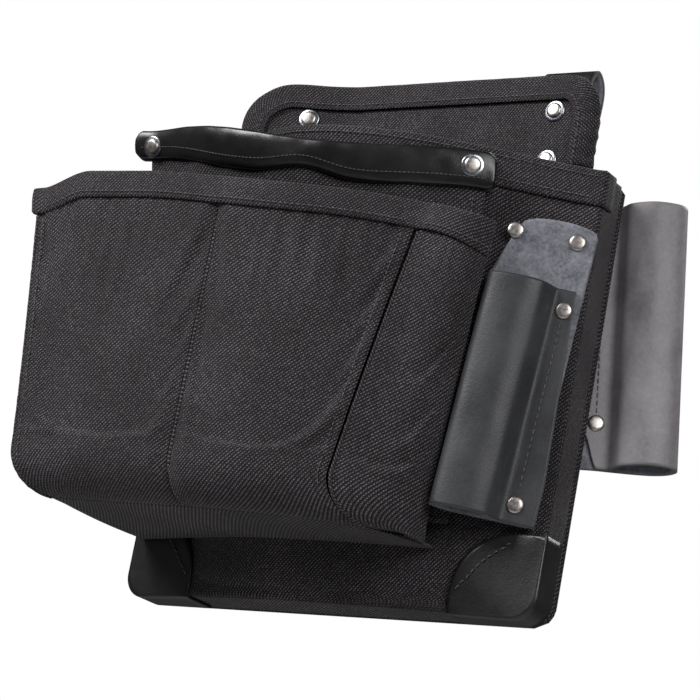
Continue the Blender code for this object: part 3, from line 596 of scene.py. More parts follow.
def take_mesh(name, body):
    """Turns a bmesh of closed solids into a mesh, with its normals outwards."""
    bmesh.ops.recalc_face_normals(body, faces=body.faces)
    mesh = bpy.data.meshes.new(name)
    body.to_mesh(mesh)
    body.free()
    return mesh


def close_rings(body, rings):
    """Faces between rings of vertices, and one over each end."""
    for first, second in zip(rings, rings[1:]):
        for index in range(len(first)):
            after = (index + 1) % len(first)
            body.faces.new((first[index], first[after], second[after], second[index]))
    body.faces.new(rings[0][::-1])
    body.faces.new(rings[-1])


def cloth_body():
    """A bmesh and its layer for places in the flat cloth."""
    body = bmesh.new()
    return body, body.verts.layers.float_vector.new("cloth")


def cloth_vertex(body, laid, point, run, around):
    vertex = body.verts.new(place(point))
    vertex[laid] = (run, around, 0.0)
    return vertex


def grid_mesh(name, surface, columns, rows):
    """A grid over surface(u, v), in metres, with its flat cloth coordinates in millimetres."""
    points = [[Vector(surface(u / columns, v / rows)) for u in range(columns + 1)] for v in range(rows + 1)]
    middle = points[rows // 2]
    wide = [0.0]
    for first, second in zip(middle, middle[1:]):
        wide.append(wide[-1] + (second - first).length)
    tall = [0.0]
    for lower, upper in zip(points, points[1:]):
        tall.append(tall[-1] + (upper[columns // 2] - lower[columns // 2]).length)
    verts = [place(point) for row in points for point in row]
    laid = [(wide[u], tall[v], 0.0) for v in range(rows + 1) for u in range(columns + 1)]
    faces = []
    for v in range(rows):
        for u in range(columns):
            first = v * (columns + 1) + u
            faces.append((first, first + 1, first + columns + 2, first + columns + 1))
    mesh = bpy.data.meshes.new(name)
    mesh.from_pydata(verts, [], faces)
    layer = mesh.attributes.new("cloth", "FLOAT_VECTOR", "POINT")
    layer.data.foreach_set("vector", [number for item in laid for number in item])
    return mesh


def thicken(obj, thickness, inner=0, rim=0):
    shell = obj.modifiers.new("thickness", "SOLIDIFY")
    shell.thickness = thickness * MM
    shell.offset = -1.0
    shell.use_even_offset = True
    shell.use_quality_normals = True
    shell.material_offset = inner
    shell.material_offset_rim = rim


def panel(name, surface, columns, rows, thickness, looks=None, inner=0, rim=0):
    """A sheet that stands for the node of its name; inner and rim pick the looks of its back and edge."""
    obj = finish_piece(name, grid_mesh(name, surface, columns, rows), looks or [CLOTH], name)
    thicken(obj, thickness, inner, rim)
    return obj


def lathe(name, profile, centre, axis, look, sides=40):
    """A turned solid from a profile of (radius, height) that ends on the axis or closes on itself."""
    closed = profile[0] == profile[-1]
    points = profile[:-1] if closed else profile
    body = bmesh.new()
    rings = []
    for radius, height in points:
        if radius < 1e-6:
            rings.append([body.verts.new((0.0, 0.0, height * MM))])
            continue
        rings.append([
            body.verts.new((radius * MM * math.cos(turn), radius * MM * math.sin(turn), height * MM))
            for turn in (2.0 * math.pi * side / sides for side in range(sides))
        ])
    pairs = list(zip(rings, rings[1:])) + ([(rings[-1], rings[0])] if closed else [])
    for lower, upper in pairs:
        for side in range(sides):
            after = (side + 1) % sides
            corners = [lower[side % len(lower)], lower[after % len(lower)], upper[after % len(upper)],
                       upper[side % len(upper)]]
            body.faces.new(list(dict.fromkeys(corners)))
    mesh = take_mesh(name, body)
    mesh.transform(Matrix.Translation(place(centre)) @ towards(axis))
    return finish_piece(name, mesh, [look], name)


def rivet(name, centre, axis, front, rear):
    """A cap with a soft rim and a slight crown, and a plain burr behind."""
    tall = HEAD_HEIGHT
    crown = [
        (0.0, tall), (HEAD_RADIUS * 0.35, tall * 0.985), (HEAD_RADIUS * 0.66, tall * 0.91),
        (HEAD_RADIUS * 0.84, tall * 0.74), (HEAD_RADIUS * 0.95, tall * 0.48), (HEAD_RADIUS, tall * 0.2),
        (HEAD_RADIUS * 0.98, 0.0), (SHANK_RADIUS, 0.0),
    ]
    profile = [(radius, front + height) for radius, height in crown]
    profile += [(SHANK_RADIUS, -rear), (HEAD_RADIUS * 0.9, -rear), (HEAD_RADIUS * 0.85, -rear - BURR)]
    profile += [(0.0, -rear - BURR)]
    return lathe(name, profile, centre, axis, NICKEL)


def washer(name, centre, axis, foot):
    """A domed ring with rounded edges."""
    top = foot + WASHER_HEIGHT
    profile = [
        (HOLE_RADIUS, foot), (WASHER_RADIUS - 0.2, foot), (WASHER_RADIUS, foot + 0.2),
        (WASHER_RADIUS - 0.1, foot + 0.5), (WASHER_RADIUS - 0.6, top), (HOLE_RADIUS + 0.6, top),
        (HOLE_RADIUS, top - 0.2), (HOLE_RADIUS, foot),
    ]
    return lathe(name, profile, centre, axis, STEEL, 48)


def hem(name, wall, stations, lip, height, thickness, look, waver=0.25, puff=0.4):
    """A strip folded over a wall's lip, from the same section as its solid, with a rounded fold."""
    near, far = GAP, GAP + thickness
    back = -FABRIC
    middle = back / 2
    round_half = far - middle
    arc = [
        (middle + round_half * math.cos(turn), far * math.sin(turn))
        for turn in (math.pi * step / 10 for step in range(11))
    ]
    body, laid = cloth_body()
    rings = []
    run = 0.0
    before = None
    for p in stations:
        edge = lip(p)
        depths = [-height(p) * share for share in HEM_SHARES]
        section = [(far - 0.55, depths[0]), *[(far, depth) for depth in depths[1:]], *arc]
        section += [(back - far, depth) for depth in depths[:0:-1]] + [(back - far + 0.55, depths[0])]
        section += [(back - near, depths[0] + 0.3), (back - near, near), (near, near)]
        section += [(near, depths[0] + 0.3)]
        foot = wall(p, edge)
        run += (foot - before).length if before else 0.0
        before = foot
        push = outward(wall, p, edge)
        ring = []
        around = 0.0
        last = None
        for offset, rise in section:
            sway = waver * noise.noise(Vector((run * 0.09, rise * 0.12, 3.0)))
            if offset > near and rise < 0.0:
                sway += puff * math.sin(math.pi * min(rise / depths[0], 1.0)) ** 0.7
            low = wall(p, edge + min(rise, 0.0))
            point = low + push * (offset + sway) + Vector((0.0, 0.0, max(rise, 0.0)))
            around += (Vector((offset, rise)) - last).length if last else 0.0
            last = Vector((offset, rise))
            ring.append(cloth_vertex(body, laid, point, run, around))
        rings.append(ring)
    close_rings(body, rings)
    return finish_piece(name, take_mesh(name, body), [look], name)


def even_points(points, gap):
    """Points every gap millimetres along a polyline, with the direction at each."""
    found = []
    left = gap * 0.5
    for first, second in zip(points, points[1:]):
        leg = second - first
        length = leg.length
        if length < 1e-9:
            continue
        while left <= length:
            found.append((first + leg * (left / length), leg / length))
            left += gap
        left -= length
    return found


def stitches(name, points, normals=FORWARD, look=THREAD, body="bag", gap=3.4, length=2.5, radius=0.33):
    """A run of thread stitches on a surface; normals gives its outside, one direction or at fraction t."""
    sewn = bmesh.new()
    total = max(len(points) - 1, 1)
    for centre, heading in even_points(points, gap):
        nearest = min(range(len(points)), key=lambda index: (points[index] - centre).length_squared)
        up = normals(nearest / total) if callable(normals) else Vector(normals)
        side = heading.cross(up).normalized()
        rings = []
        for step, swell, rise in STITCH_RINGS:
            hub = centre + heading * (step * length) + up * (radius * rise)
            rings.append([
                sewn.verts.new(place(
                    hub + side * (radius * swell * math.cos(turn)) + up * (radius * swell * math.sin(turn))
                ))
                for turn in (math.pi * 2.0 * corner / 6 for corner in range(6))
            ])
        close_rings(sewn, rings)
    return finish_piece(name, take_mesh(name, sewn), [look], None, body)


def wall_stitches(name, wall, start, end, height, lift, look, count=160, **spacing):
    """Stitches level along a wall; height(p) is their height and lift how far they stand off the wall."""
    stations = steps(start, end, count)
    points = [wall(p, height(p)) + outward(wall, p, height(p)) * lift for p in stations]

    def normals(t):
        p = lerp(start, end, t)
        return outward(wall, p, height(p)).normalized()
    return stitches(name, points, normals, look, **spacing)


# ---------------------------------------------------------------- cloth

def settle(obj, columns, rows, slack, cap, held_rows=HELD_ROWS):
    """Lets a sewn panel sag and belly between its held seams, by cloth simulation, then keeps the shape."""
    rest = [vertex.co.copy() for vertex in obj.data.vertices]
    pins = obj.vertex_groups.new(name="seams")
    for index in range(len(rest)):
        u, v = index % (columns + 1), index // (columns + 1)
        held = min(u, columns - u, rows - v) < HELD_ROWS or v < held_rows
        pins.add([index], 1.0 if held else 0.0, "REPLACE")
    for item in obj.modifiers:
        item.show_viewport = False
    cloth = obj.modifiers.new("cloth", "CLOTH")
    cloth.settings.vertex_group_mass = "seams"
    cloth.settings.quality = 6
    cloth.settings.mass = 0.35
    cloth.settings.tension_stiffness = cloth.settings.compression_stiffness = 30.0
    cloth.settings.shear_stiffness = 12.0
    cloth.settings.bending_stiffness = 1.2
    cloth.settings.shrink_min = -slack
    cloth.settings.air_damping = 4.0
    cloth.point_cache.frame_end = SETTLE_FRAMES
    scene = bpy.context.scene
    for number in range(1, SETTLE_FRAMES + 1):
        scene.frame_set(number)
    graph = bpy.context.evaluated_depsgraph_get()
    settled = obj.evaluated_get(graph).data
    moved = [vertex.co.copy() for vertex in settled.vertices]
    obj.modifiers.remove(cloth)
    for item in obj.modifiers:
        item.show_viewport = True
    if len(moved) == len(rest):
        for vertex, start, end in zip(obj.data.vertices, rest, moved):
            shift = end - start
            if shift.length > cap * MM:
                shift *= cap * MM / shift.length
            vertex.co = start + shift
    obj.vertex_groups.clear()
    scene.frame_set(1)


# ---------------------------------------------------------------- back panel and yoke

def ripple(x, z, size, reach, seed=0.0):
    return reach * noise.noise(Vector((x / size, z / size, seed)))


def build_back():
    def skin(behind, sign, seed):
        def surface(u, v):
            z = lerp(0.0, SKIN_TOP, v)
            x = back_x(lerp(-1.0, 1.0, u), z)
            puckers = 0.9 * smooth(88.0, 112.0, x) * smooth(250.0, 270.0, z)
            gathers = puckers * math.sin((z + 0.4 * x) * 0.62)
            return yoke_place(x, z, behind + sign * 0.35 * (gathers + ripple(x, z, 30.0, 0.6, seed)))
        return surface
    panel("back_panel_front_skin", skin(0.0, 1.0, 1.0), 130, 90, CORE)
    panel("back_panel_rear_skin", skin(REAR_FACE - SKIN, -0.4, 2.0), 130, 90, CORE)


def build_yoke_hem():
    heights = [272.0 + index * 3.0 for index in range(18)] + [SKIN_TOP]
    left = [(back_x(-1.0, z), z) for z in heights]
    top = [(back_x(index / 42 - 1.0, SKIN_TOP), SKIN_TOP) for index in range(1, 84)]
    path = [*left, *top, *[(back_x(1.0, z), z) for z in heights[::-1]]]
    for _ in range(14):
        path = [path[0], *[
            tuple((before[axis] + 2.0 * here[axis] + after[axis]) / 4.0 for axis in (0, 1))
            for before, here, after in zip(path, path[1:], path[2:])
        ], path[-1]]
    near, far = YOKE_ROOM, YOKE_ROOM + HEM
    middle = REAR_FACE / 2
    half = middle + far
    arc = [(-0.8 - 1.6 * math.sin(turn), middle - half * math.cos(turn))
           for turn in (math.pi * step / 10 for step in range(11))]
    depths = [YOKE_HEM, YOKE_HEM * 0.94, YOKE_HEM * 0.7, YOKE_HEM * 0.4, YOKE_HEM * 0.1]
    section = [(depths[0], -far + 0.5), *[(into, -far) for into in depths[1:]], *arc]
    section += [(into, REAR_FACE + far) for into in depths[:0:-1]] + [(depths[0], REAR_FACE + far - 0.5)]
    section += [(depths[0] - 0.3, REAR_FACE + near), (-near, REAR_FACE + near), (-near, -near)]
    section += [(depths[0] - 0.3, -near)]
    body, laid = cloth_body()
    rings = []
    line = []
    run = 0.0
    for index, (x, z) in enumerate(path):
        here = Vector((x, z))
        run += (here - Vector(path[max(index - 1, 0)])).length
        inward = Vector(path[min(index + 6, len(path) - 1)]) - Vector(path[max(index - 6, 0)])
        inward = Vector((inward.y, -inward.x)).normalized()
        ring = []
        around = 0.0
        for number, (into, behind) in enumerate(section):
            if number:
                around += math.dist(section[number - 1], (into, behind))
            sway = 0.3 * noise.noise(Vector((run * 0.12, around * 0.1, 7.0)))
            wrinkle = 0.45 * math.sin(run * 0.75) * smooth(94.0, 108.0, x) if behind < 0.0 else 0.0
            point = yoke_place(x + inward.x * into, z + inward.y * into, behind - sway - wrinkle)
            ring.append(cloth_vertex(body, laid, point, run, around))
        rings.append(ring)
        into = YOKE_HEM * 0.76
        line.append(yoke_place(x + inward.x * into, z + inward.y * into, -far - 0.25))
    close_rings(body, rings)
    finish_piece("yoke_hem", take_mesh("yoke_hem", body), [TAPE], "yoke_hem")

    def normals(t):
        x, z = path[round(t * (len(path) - 1))]
        return yoke_normal(x, z)
    stitches("yoke_hem_stitches", line, normals)


def yoke_normal(x, z):
    across = yoke_place(x + 1.0, z, 0.0) - yoke_place(x - 1.0, z, 0.0)
    upward = yoke_place(x, z + 1.0, 0.0) - yoke_place(x, z - 1.0, 0.0)
    return across.cross(upward).normalized()


def build_loop(side, centre):
    front = LOOP_FACE
    foot = REAR_FACE + GAP + LOOP_LEATHER
    crest = LOOP_CRESTS[side]
    route = spline([
        (front, LOOP_ENDS[0]), (front, 290.0), (front, crest - 21.0), (front + 2.0, crest - 7.0),
        (front + 9.0, crest), (front + 17.0, crest - 5.0), (front + 19.5, crest - 17.0),
        (front + 16.0, 296.0),
        (front + 8.0, 255.0), (foot + 0.8, 228.0), (foot, 218.0), (foot, LOOP_ENDS[1]),
    ], 120)

    def surface(u, v):
        point = along(route, v)
        x = lerp(-LOOP_WIDTH / 2, LOOP_WIDTH / 2, u) + centre
        return Vector((x, point.x + yoke_place(x, point.y, 0.0).y, point.y))
    panel("belt_loop_" + side, surface, 12, 120, LOOP_LEATHER, [STRAP, NAP, DARK_EDGE], 1, 2)


def fasten_loops():
    inner = LOOP_FACE + LOOP_LEATHER
    for side, sign in (("left", -1.0), ("right", 1.0)):
        x = sign * YOKE_RIVET_X
        for row, z in zip(("upper", "lower"), YOKE_RIVET_HEIGHTS):
            axis = yoke_normal(x, z)
            centre = yoke_place(x, z, 0.0) - axis * (inner / 2)
            front_gap = inner / 2 + GAP
            label = row + "_" + side
            washer("yoke_washer_" + label, centre, axis, front_gap)
            rivet("yoke_rivet_" + label, centre, axis, front_gap + WASHER_HEIGHT + 0.2, inner / 2 + GAP)
        thick = REAR_FACE + GAP + LOOP_LEATHER
        centre = (sign * LOOP_CENTRE, thick / 2, LOOP_FOOT_RIVET)
        rivet("loop_foot_rivet_" + side, centre, (0.0, -1.0, 0.0), thick / 2 + GAP, thick / 2 + GAP)


# ---------------------------------------------------------------- main bag

def main_panel():
    columns, rows = 120, 90

    def surface(u, v):
        x = u * 2.0 - 1.0
        z = lerp(0.0, main_lip(BACK_HALF * x) - LIP_ROOM, v)
        point = main_wall(1.0 + u, z)
        edge = min(u, 1.0 - u) * 8.0
        point.y += min(edge, 1.0) * (0.5 * abs(ripple(point.x, z, 42.0, 1.6, 5.0)))
        return point
    obj = panel("main_front_panel", surface, columns, rows, FABRIC)
    settle(obj, columns, rows, 0.004, 1.2)


def gusset_path():
    lip = main_lip(BACK_HALF) - LIP_ROOM
    right = [(BACK_HALF, lerp(lip, BAG_CORNER, index / 60)) for index in range(60)]
    for index in range(13):
        turn = math.pi / 2 * (1.0 - index / 12)
        x = BACK_HALF - BAG_CORNER + BAG_CORNER * math.sin(turn)
        right.append((x, BAG_CORNER - BAG_CORNER * math.cos(turn)))
    flat = [(lerp(126.0, 0.0, index / 32), 0.0) for index in range(1, 33)]
    half = right + flat
    return [(-x, z) for x, z in half] + [(x, z) for x, z in half[-2::-1]]


def main_gusset():
    path = gusset_path()
    count = len(path) - 1

    def surface(u, v):
        x, z = path[round(u * count)]
        front = main_depth(x, z) - FABRIC - GAP - 0.3
        rear = GAP - min(yoke_place(x, z, 0.0).y, 0.0)
        return Vector((x, -lerp(rear, front, v), z))
    panel("main_gusset", surface, count, 10, FABRIC)


def main_hem():
    stations = [0.12, 0.4, 0.7, 0.92, 1.0, *steps(1.015, 1.985, 110), 2.0, 2.1, 2.3, 2.5]

    def lip(p):
        return main_lip(main_wall(p, MAIN_LIP).x)
    hem("main_lip_hem", main_wall, stations, lip, lambda p: MAIN_HEM, HEM, TAPE)
    for label, below in (("lower", HEM_STITCH_DEPTH), ("upper", 0.14)):
        wall_stitches(
            "main_hem_stitches_" + label, main_wall, 1.02, 1.985, lambda p, b=below: lip(p) - MAIN_HEM * b,
            GAP + HEM + STITCH_LIFT, THREAD, 200,
        )


def corner_patch(side, sign):
    along_bottom, up_side = PATCH
    lift = GAP + PATCH_LEATHER
    outer = BAG_CORNER + lift
    edge = [(BACK_HALF - along_bottom + index * 4.75, -lift) for index in range(8)]
    centre = (BACK_HALF - BAG_CORNER, BAG_CORNER)
    edge += [
        (centre[0] + outer * math.sin(math.radians(turn)), centre[1] - outer * math.cos(math.radians(turn)))
        for turn in range(0, 91, 6)
    ]
    edge += [(BACK_HALF + lift, lerp(outer, up_side, index / 9)) for index in range(1, 10)]
    count = len(edge) - 1

    def rim(t, reach):
        x, z = edge[round(t * count)]
        turn = math.radians(90.0 * t)
        inner_x = BACK_HALF - 6.0 - (along_bottom - 6.0) * max(math.cos(turn), 0.0) ** 0.8
        inner_z = 6.0 + (up_side - 6.0) * max(math.sin(turn), 0.0) ** 0.8
        here = Vector((lerp(x, inner_x, reach), lerp(z, inner_z, reach)))
        return Vector((sign * here.x, -main_depth(sign * here.x, max(here.y, 0.0)) - lift, here.y))

    def surface(u, v):
        t = u if sign > 0 else 1.0 - u
        x, z = edge[round(t * count)]
        if v <= FOLD_ROW + 0.01:
            front = max(main_depth(x, max(z, 0.0)) + lift, MAIN_SIDE_DEPTH + lift)
            return Vector((sign * x, -lerp(4.0, front, v / FOLD_ROW), z))
        reach = (v - FOLD_ROW) / (1.0 - FOLD_ROW)
        point = rim(t, reach)
        point.y -= 0.5 * math.sin(math.pi * min(reach, 1.0))
        return point
    name = "corner_patch_" + side
    panel(name, surface, count, 24, PATCH_LEATHER, [CORNER, CUT_EDGE], 0, 1)
    line = [rim(t, 0.8) + Vector((0.0, -0.7, 0.0)) for t in steps(0.1, 0.84, count)]
    stitches(name + "_stitches", line, **CORNER_STITCH)


# ---------------------------------------------------------------- second pouch

def cross_wall(name, x, rear, front, low, high, columns):
    """A flat wall across a pouch, from depth rear(z) to the back of the cloth at depth front(z)."""
    def surface(u, v):
        z = lerp(low, high, v)
        return Vector((x, -lerp(rear(z), front(z) - FABRIC - 1.0, u), z))
    panel(name, surface, columns, 40, FABRIC)


def second_pouch():
    def rounding(p):
        return max(1.0 - (p + 0.05) / 0.022, (p - 0.998) / 0.022, 0.0) ** 2

    def lip(p):
        return second_lip(second_wall(p, SECOND_LIP).x) - 4.0 * rounding(p)

    def tall(p):
        return lip_height(second_wall(p, SECOND_LIP).x) - 7.0 * rounding(p)

    def surface(u, v):
        z = lerp(SECOND_BOTTOM, lip(u) - LIP_ROOM, v)
        point = second_wall(u, z)
        folds = math.sin(u * 22.0) + 0.6 * math.sin(u * 51.0 + 1.0)
        point.y += 0.5 * folds * smooth(0.6, 0.95, v) * smooth(0.0, 0.05, u)
        return point

    panel("second_pouch_panel", surface, 110, 60, FABRIC)
    for name, x, room, low, high, columns in (
        ("second_pouch_gusset", SECOND_LEFT, 2.2, SECOND_BOTTOM + 6.0, SECOND_LIP - 26.0, 24),
        ("second_pouch_divider", SECOND_DIVIDER, 1.5, 80.0, 224.0, 10),
    ):
        cross_wall(
            name, x, lambda z: main_depth(x, z) + room, lambda z: second_depth(x, z), low, high, columns)
    stations = steps(-0.05, 1.02, 150)
    hem("second_pouch_lip", second_wall, stations, lip, tall, LEATHER - 0.2, LIP, 0.5, 1.1)
    wall_stitches(
        "lip_stitches", second_wall, -0.03, 1.0, lambda p: lip(p) - tall(p) + 5.6, GAP + LEATHER + 0.8, BEAD,
        200, **LIP_STITCH,
    )
    edge = [second_wall(0.975, z) + Vector((0.0, -0.3, 0.0)) for z in steps(64.0, 228.0, 60)]
    stitches("second_edge_stitches", edge)
    for side, x in zip(("left", "right"), LIP_RIVETS):
        p = (x - SECOND_LEFT) / (SECOND_RIGHT - SECOND_LEFT)
        z = second_lip(x) - LIP_RIVET_DROP
        across = second_wall(p + 0.01, z) - second_wall(p - 0.01, z)
        axis = across.cross(second_wall(p, z + 2.0) - second_wall(p, z - 2.0)).normalized()
        centre = second_wall(p, z) - outward(second_wall, p, z) * (FABRIC / 2)
        half = FABRIC / 2 + GAP + LEATHER - 0.2
        washer("lip_washer_" + side, centre, axis, half + 0.5)
        rivet("lip_rivet_" + side, centre, axis, half + 0.7 + WASHER_HEIGHT, half + 0.3)


# ---------------------------------------------------------------- front pouch

def front_cloth(p, v):
    """The front pouch's cloth: its wall for v above ROLL_SHARE, and below that the turn under the pouch."""
    roll_top = FRONT_BOTTOM + FRONT_ROLL
    if v >= ROLL_SHARE:
        return front_wall(p, lerp(roll_top, front_lip(p) - LIP_ROOM, (v - ROLL_SHARE) / (1.0 - ROLL_SHARE)))
    turn = (1.0 - v / ROLL_SHARE) * math.pi / 2
    under = FRONT_ROLL * (1.0 - math.cos(turn))
    left, right = (leg.x / leg.y for leg in (
        front_wall(0.0, roll_top) - front_wall(1.0, roll_top),
        front_wall(3.0, roll_top) - front_wall(2.0, roll_top),
    ))
    lean = left + 0.5 if p <= 1.0 else right
    if 1.0 < p < 2.0:
        lean = (left + 0.5) * smooth(1.35, 1.0, p) + right * smooth(1.65, 2.0, p)
    beyond = max(1.0 - p, p - 2.0, 0.0)
    point = front_wall(p, roll_top) + Vector((lean * under, under, 0.0)) * (1.0 - beyond)
    point.z = roll_top - FRONT_ROLL * math.sin(turn)
    return point


def ridge(name, points, radius):
    """A narrow roll of cloth along a seam."""
    roll, laid = cloth_body()
    rings = []
    run = 0.0
    for index, centre in enumerate(points):
        heading = (points[min(index + 1, len(points) - 1)] - points[max(index - 1, 0)]).normalized()
        run += (centre - points[max(index - 1, 0)]).length
        side = heading.cross(Vector((0.3, -1.0, 0.2))).normalized()
        lift = side.cross(heading)
        swell = radius * (1.0 + 0.25 * noise.noise(Vector((run * 0.3, 1.0, 2.0))))
        ring = []
        for corner in range(8):
            turn = math.pi * corner / 4
            point = centre + side * (swell * math.cos(turn)) + lift * (swell * math.sin(turn))
            ring.append(cloth_vertex(roll, laid, point, run, turn * radius))
        rings.append(ring)
    close_rings(roll, rings)
    return finish_piece(name, take_mesh(name, roll), [TAPE], None, "bag")


def front_pouch():
    crease = 1.0 + (FRONT_CREASE - front_left(FRONT_LIP)) / (front_right(FRONT_LIP) - front_left(FRONT_LIP))

    def wall_panel(name, start, end, columns, slack=0.012, cap=3.0):
        rows = 90

        def surface(u, v):
            p = lerp(start, end, u)
            point = front_cloth(p, v)
            if 1.0 < p < 2.0:
                belly = math.sin(math.pi * min(v / 0.9, 1.0)) * math.sin(math.pi * u)
                pleat = math.exp(-((p - crease) / 0.035) ** 2) * smooth(1.0, 0.8, v)
                pucker = math.sin(p * 61.0) * smooth(0.72, 0.9, v) * smooth(1.0, 0.93, v)
                point.y += 3.2 * pleat - 4.2 * belly - 0.5 * pucker
            return point
        obj = panel(name, surface, columns, rows, FABRIC)
        settle(obj, columns, rows, slack, cap, round(rows * ROLL_SHARE) + 4)

    wall_panel("front_pouch_left_gusset", 0.02, 0.99, 40)
    wall_panel("front_pouch_left_panel", 1.004, crease - 0.002, 60)
    wall_panel("front_pouch_right_panel", crease + 0.002, 1.992, 56)
    wall_panel("front_pouch_right_gusset", 2.012, 2.96, 40)
    for label, p in (("left", 0.998), ("right", 2.002)):
        seam = [front_cloth(p, v) + Vector((0.0, 0.6, 0.0)) for v in steps(0.0, 0.92, 90)]
        ridge("front_seam_" + label, seam, 1.15)
    for label, p in (("left", 1.022), ("right", 1.972)):
        line = [front_cloth(p, v) + Vector((0.0, -0.7, 0.0)) for v in steps(0.14, 0.9, 90)]
        stitches("front_seam_stitches_" + label, line)

    def bottom_surface(u, v):
        rear = Vector((lerp(-133.0, 76.0, u), 0.0, FRONT_BOTTOM))
        rear.y = -main_depth(rear.x, FRONT_BOTTOM) - 3.0
        front = front_cloth(lerp(1.002, 1.998, u), 0.0)
        swell = math.sin(math.pi * v)
        return rear.lerp(front, v) + Vector((7.0 * swell * smooth(0.8, 1.0, u), 0.0, -1.2 * swell))

    panel("front_pouch_bottom", bottom_surface, 60, 20, FABRIC)
    cross_wall(
        "front_pouch_divider", FRONT_CREASE,
        lambda z: max(second_depth(FRONT_CREASE, z), main_depth(FRONT_CREASE, z)) + 1.0,
        lambda z: front_depth(FRONT_CREASE, z), FRONT_BOTTOM + 6.0, FRONT_LIP - FRONT_HEM - 7.0, 16,
    )
    stations = [*steps(0.1, 0.93, 24), 1.0, *steps(1.02, 1.98, 110), 2.0, *steps(2.06, 2.92, 26)]
    hem("front_pouch_hem", front_wall, stations, front_lip, front_hem, HEM, TAPE)
    for label, start, end in (("left", 0.14, 0.94), ("front", 1.03, 1.97), ("right", 2.06, 2.92)):
        wall_stitches(
            "front_hem_stitches_" + label, front_wall, start, end,
            lambda p: front_lip(p) - front_hem(p) * HEM_STITCH_DEPTH, GAP + HEM + STITCH_LIFT, THREAD, 160,
        )


# ---------------------------------------------------------------- leather pieces that swing

def seam_rivets(label, hanging, across, heights):
    for row, up in zip(("upper", "lower"), heights):
        rivet(label + "_seam_rivet_" + row, hanging.at(across, up, (FLANGE - LEATHER) / 2), hanging.out,
              LEATHER + GAP, LEATHER + GAP)


def seam_stitches(label, hanging, across, start, end, body):
    line = [hanging.at(across, up, FLANGE + 0.15) for up in steps(start, end, 60)]
    stitches(label + "_seam_stitches", line, hanging.out, THREAD, body, **SLEEVE_STITCH)


def plier_holder():
    hanging = Frame(HOLDER_PLACE, HOLDER_TURN, HOLDER_TILT)
    section = spline([
        (28.5, -LEATHER), (20.0, -LEATHER), (8.0, -2.8), (-10.0, -3.0), (-20.0, -2.0), (-26.0, 4.5),
        (-22.0, 11.5),
        (-6.0, 15.0), (5.0, 12.5), (10.0, 7.5), (12.5, 3.8), (14.8, FLANGE), (22.0, FLANGE), (31.0, FLANGE),
    ], 200)

    def surface(u, v):
        point = along(section, u)
        across = point.x
        mouth = smooth(0.34, 0.47, u)
        top = lerp(HOLDER_TOP, HOLDER_MOUTH, mouth)
        corner = 6.0 * (1.0 - math.sin(math.pi * min(u / 0.34, 1.0)) ** 0.35) * (1.0 - mouth)
        up = lerp(HOLDER_FOOT, top - corner, v)
        out = point.y
        if up > HOLDER_BEND and u <= 0.34:
            flat = smooth(HOLDER_BEND, HOLDER_BEND + 8.0, up)
            out = lerp(out, -LEATHER, flat)
        if u > 0.85:
            across += lerp(-7.0, 2.0, min(max((HOLDER_MOUTH - up) / 110.0, 0.0), 1.0)) * (u - 0.85) / 0.15
        out += 0.35 * noise.noise(Vector((across / 14.0, up / 18.0, 2.0)))
        return hanging.at(across, up, out)
    mesh = grid_mesh("plier_holder", surface, 110, 90)
    obj = finish_piece("plier_holder", mesh, [GRAIN, NAP, EDGE], "plier_holder_sleeve", "blend")
    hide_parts("plier_holder_head")
    thicken(obj, LEATHER, 1, 2)
    apply_modifiers(obj)
    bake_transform(obj)
    for side, across in zip(("left", "right"), HOLDER_RIVETS):
        point = hanging.at(across, -1.5, -LEATHER / 2)
        depth = -point.y - main_depth(point.x, point.z)
        rivet("plier_holder_rivet_" + side, point, hanging.out, LEATHER / 2 + 0.2,
              LEATHER / 2 + max(depth, 0.0) + FABRIC + 2.0)
    seam_rivets("plier", hanging, HOLDER_SEAM, HOLDER_SEAM_RIVETS)
    seam_stitches("plier", hanging, HOLDER_SEAM, -49.0, -147.0, "plier_holder")


def side_sleeve():
    hanging = Frame(SIDE_PLACE, SIDE_TURN, SIDE_TILT)
    section = spline([
        (-14.5, -LEATHER), (-9.0, -LEATHER), (0.0, -LEATHER), (12.0, -3.5), (28.0, -4.0), (39.0, -0.5),
        (43.5, 7.0), (38.5, 14.5), (25.0, 17.0), (12.0, 12.5), (7.5, 7.0), (5.5, 3.8), (3.2, FLANGE),
        (-2.5, FLANGE), (-8.5, FLANGE),
    ], 200)

    def surface(u, v):
        point = along(section, 1.0 - u)
        top = SIDE_TOP - 3.0 * smooth(0.55, 1.0, u)
        foot = SIDE_FOOT + 20.0 * smooth(-1.0, -9.0, point.x) * smooth(0.4, 0.2, u)
        up = lerp(foot, top, v)
        out = point.y + 0.35 * noise.noise(Vector((point.x / 14.0, up / 18.0, 9.0)))
        return hanging.at(point.x, up, out)

    def tab_surface(u, v):
        up = lerp(SIDE_FOOT + 16.0, SIDE_TOP - 4.0, v)
        edge = hanging.at(SIDE_BEND - TAB_CLEAR, up)
        clear = REAR_FACE + GAP
        return Vector((edge.x - TAB_REACH * (1.0 - u), lerp(clear, edge.y, smooth(0.8, 1.0, u)), edge.z))

    panel("side_sleeve", surface, 110, 90, LEATHER, [PALE, NAP, EDGE], 1, 2)
    panel("side_sleeve_tab", tab_surface, 30, 60, LEATHER, [PALE, NAP, EDGE], 1, 2)
    seam_rivets("side", hanging, SIDE_SEAM, SIDE_SEAM_RIVETS)
    for row, up in zip(("upper", "lower"), TAB_RIVETS):
        edge = hanging.at(SIDE_BEND - TAB_CLEAR, up)
        thick = REAR_FACE + GAP + LEATHER
        centre = (edge.x - TAB_REACH * 0.53, thick / 2, edge.z)
        rivet("tab_rivet_" + row, centre, (0.0, -1.0, 0.0), thick / 2 + 0.3, thick / 2 + 0.3)
    seam_stitches("side", hanging, SIDE_SEAM, -6.0, -106.0, "side_sleeve")


# ---------------------------------------------------------------- studio

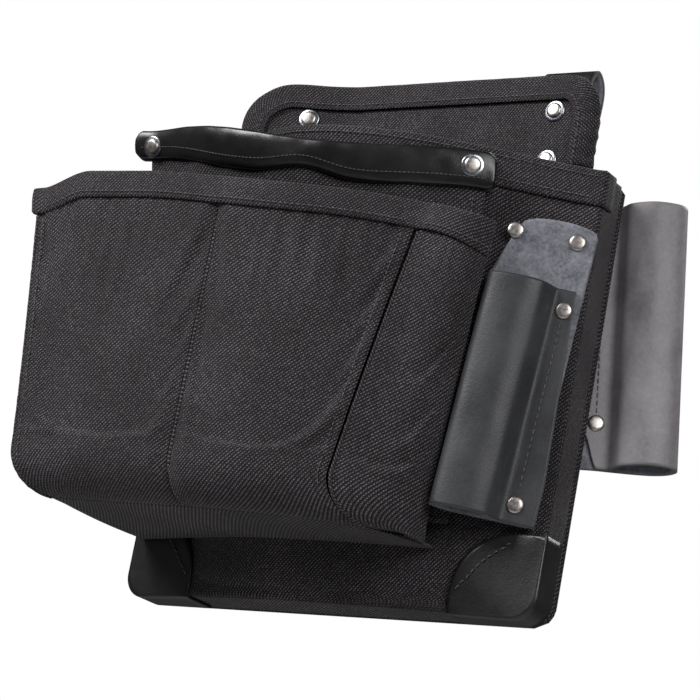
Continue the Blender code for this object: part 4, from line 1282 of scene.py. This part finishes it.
def studio():
    lens = bpy.data.cameras.new("camera")
    lens.lens = 147.4
    lens.sensor_width = 36.0
    lens.clip_end = 50.0
    camera = add_object("camera", lens)
    right = Vector((0.8296, 0.5285, 0.1800))
    up = Vector((0.0, -0.3224, 0.9466))
    back = right.cross(up).normalized()
    turn = Matrix((right, back.cross(right), back)).transposed().to_4x4()
    camera.matrix_world = Matrix.Translation(CAMERA_PLACE) @ turn
    bpy.context.scene.camera = camera

    for name, place_at, size, power in (
        ("key", (-0.9, -1.5, 0.9), 0.9, 30.0),
        ("fill", (1.6, -1.1, 0.45), 1.1, 17.0),
        ("rim", (0.2, 1.1, 1.0), 0.9, 14.0),
    ):
        lamp = bpy.data.lights.new(name, "AREA")
        lamp.size = size
        lamp.energy = power
        obj = add_object(name, lamp)
        aim = Vector(LAMP_AIM) - Vector(place_at)
        obj.matrix_world = Matrix.Translation(place_at) @ aim.to_track_quat("-Z", "Y").to_matrix().to_4x4()

    world = bpy.data.worlds.new("studio")
    bpy.context.scene.world = world
    world.use_nodes = True
    tree = world.node_tree
    fill(tree.nodes["Background"], Color=(1.0, 1.0, 1.0, 1.0))
    seen = tree.nodes.new("ShaderNodeLightPath").outputs["Is Camera Ray"]
    level = maths(tree, "ADD", maths(tree, "MULTIPLY", seen, 1.0 - WORLD_LIGHT), WORLD_LIGHT)
    tree.links.new(level, tree.nodes["Background"].inputs["Strength"])
    bpy.context.scene.view_settings.view_transform = "Standard"

    ground = bmesh.new()
    bmesh.ops.create_grid(ground, x_segments=8, y_segments=8, size=2.5)
    mesh = bpy.data.meshes.new("floor")
    ground.to_mesh(mesh)
    ground.free()
    floor = add_object("floor", mesh)
    floor.location = (0.0, 0.0, FLOOR_HEIGHT)
    pale, _, shader = new_material("floor_pale")
    fill(shader, Base_Color=(0.86, 0.86, 0.86, 1.0), Roughness=0.8)
    mesh.materials.append(pale)


studio()
build_back()
build_yoke_hem()
build_loop("left", -LOOP_CENTRE)
build_loop("right", LOOP_CENTRE)
fasten_loops()
main_panel()
main_gusset()
main_hem()
corner_patch("left", -1.0)
corner_patch("right", 1.0)
second_pouch()
front_pouch()
plier_holder()
side_sleeve()
for held_slot in frame["nodes"]["back_stiffener"].material_slots:
    held_slot.material = BOARD
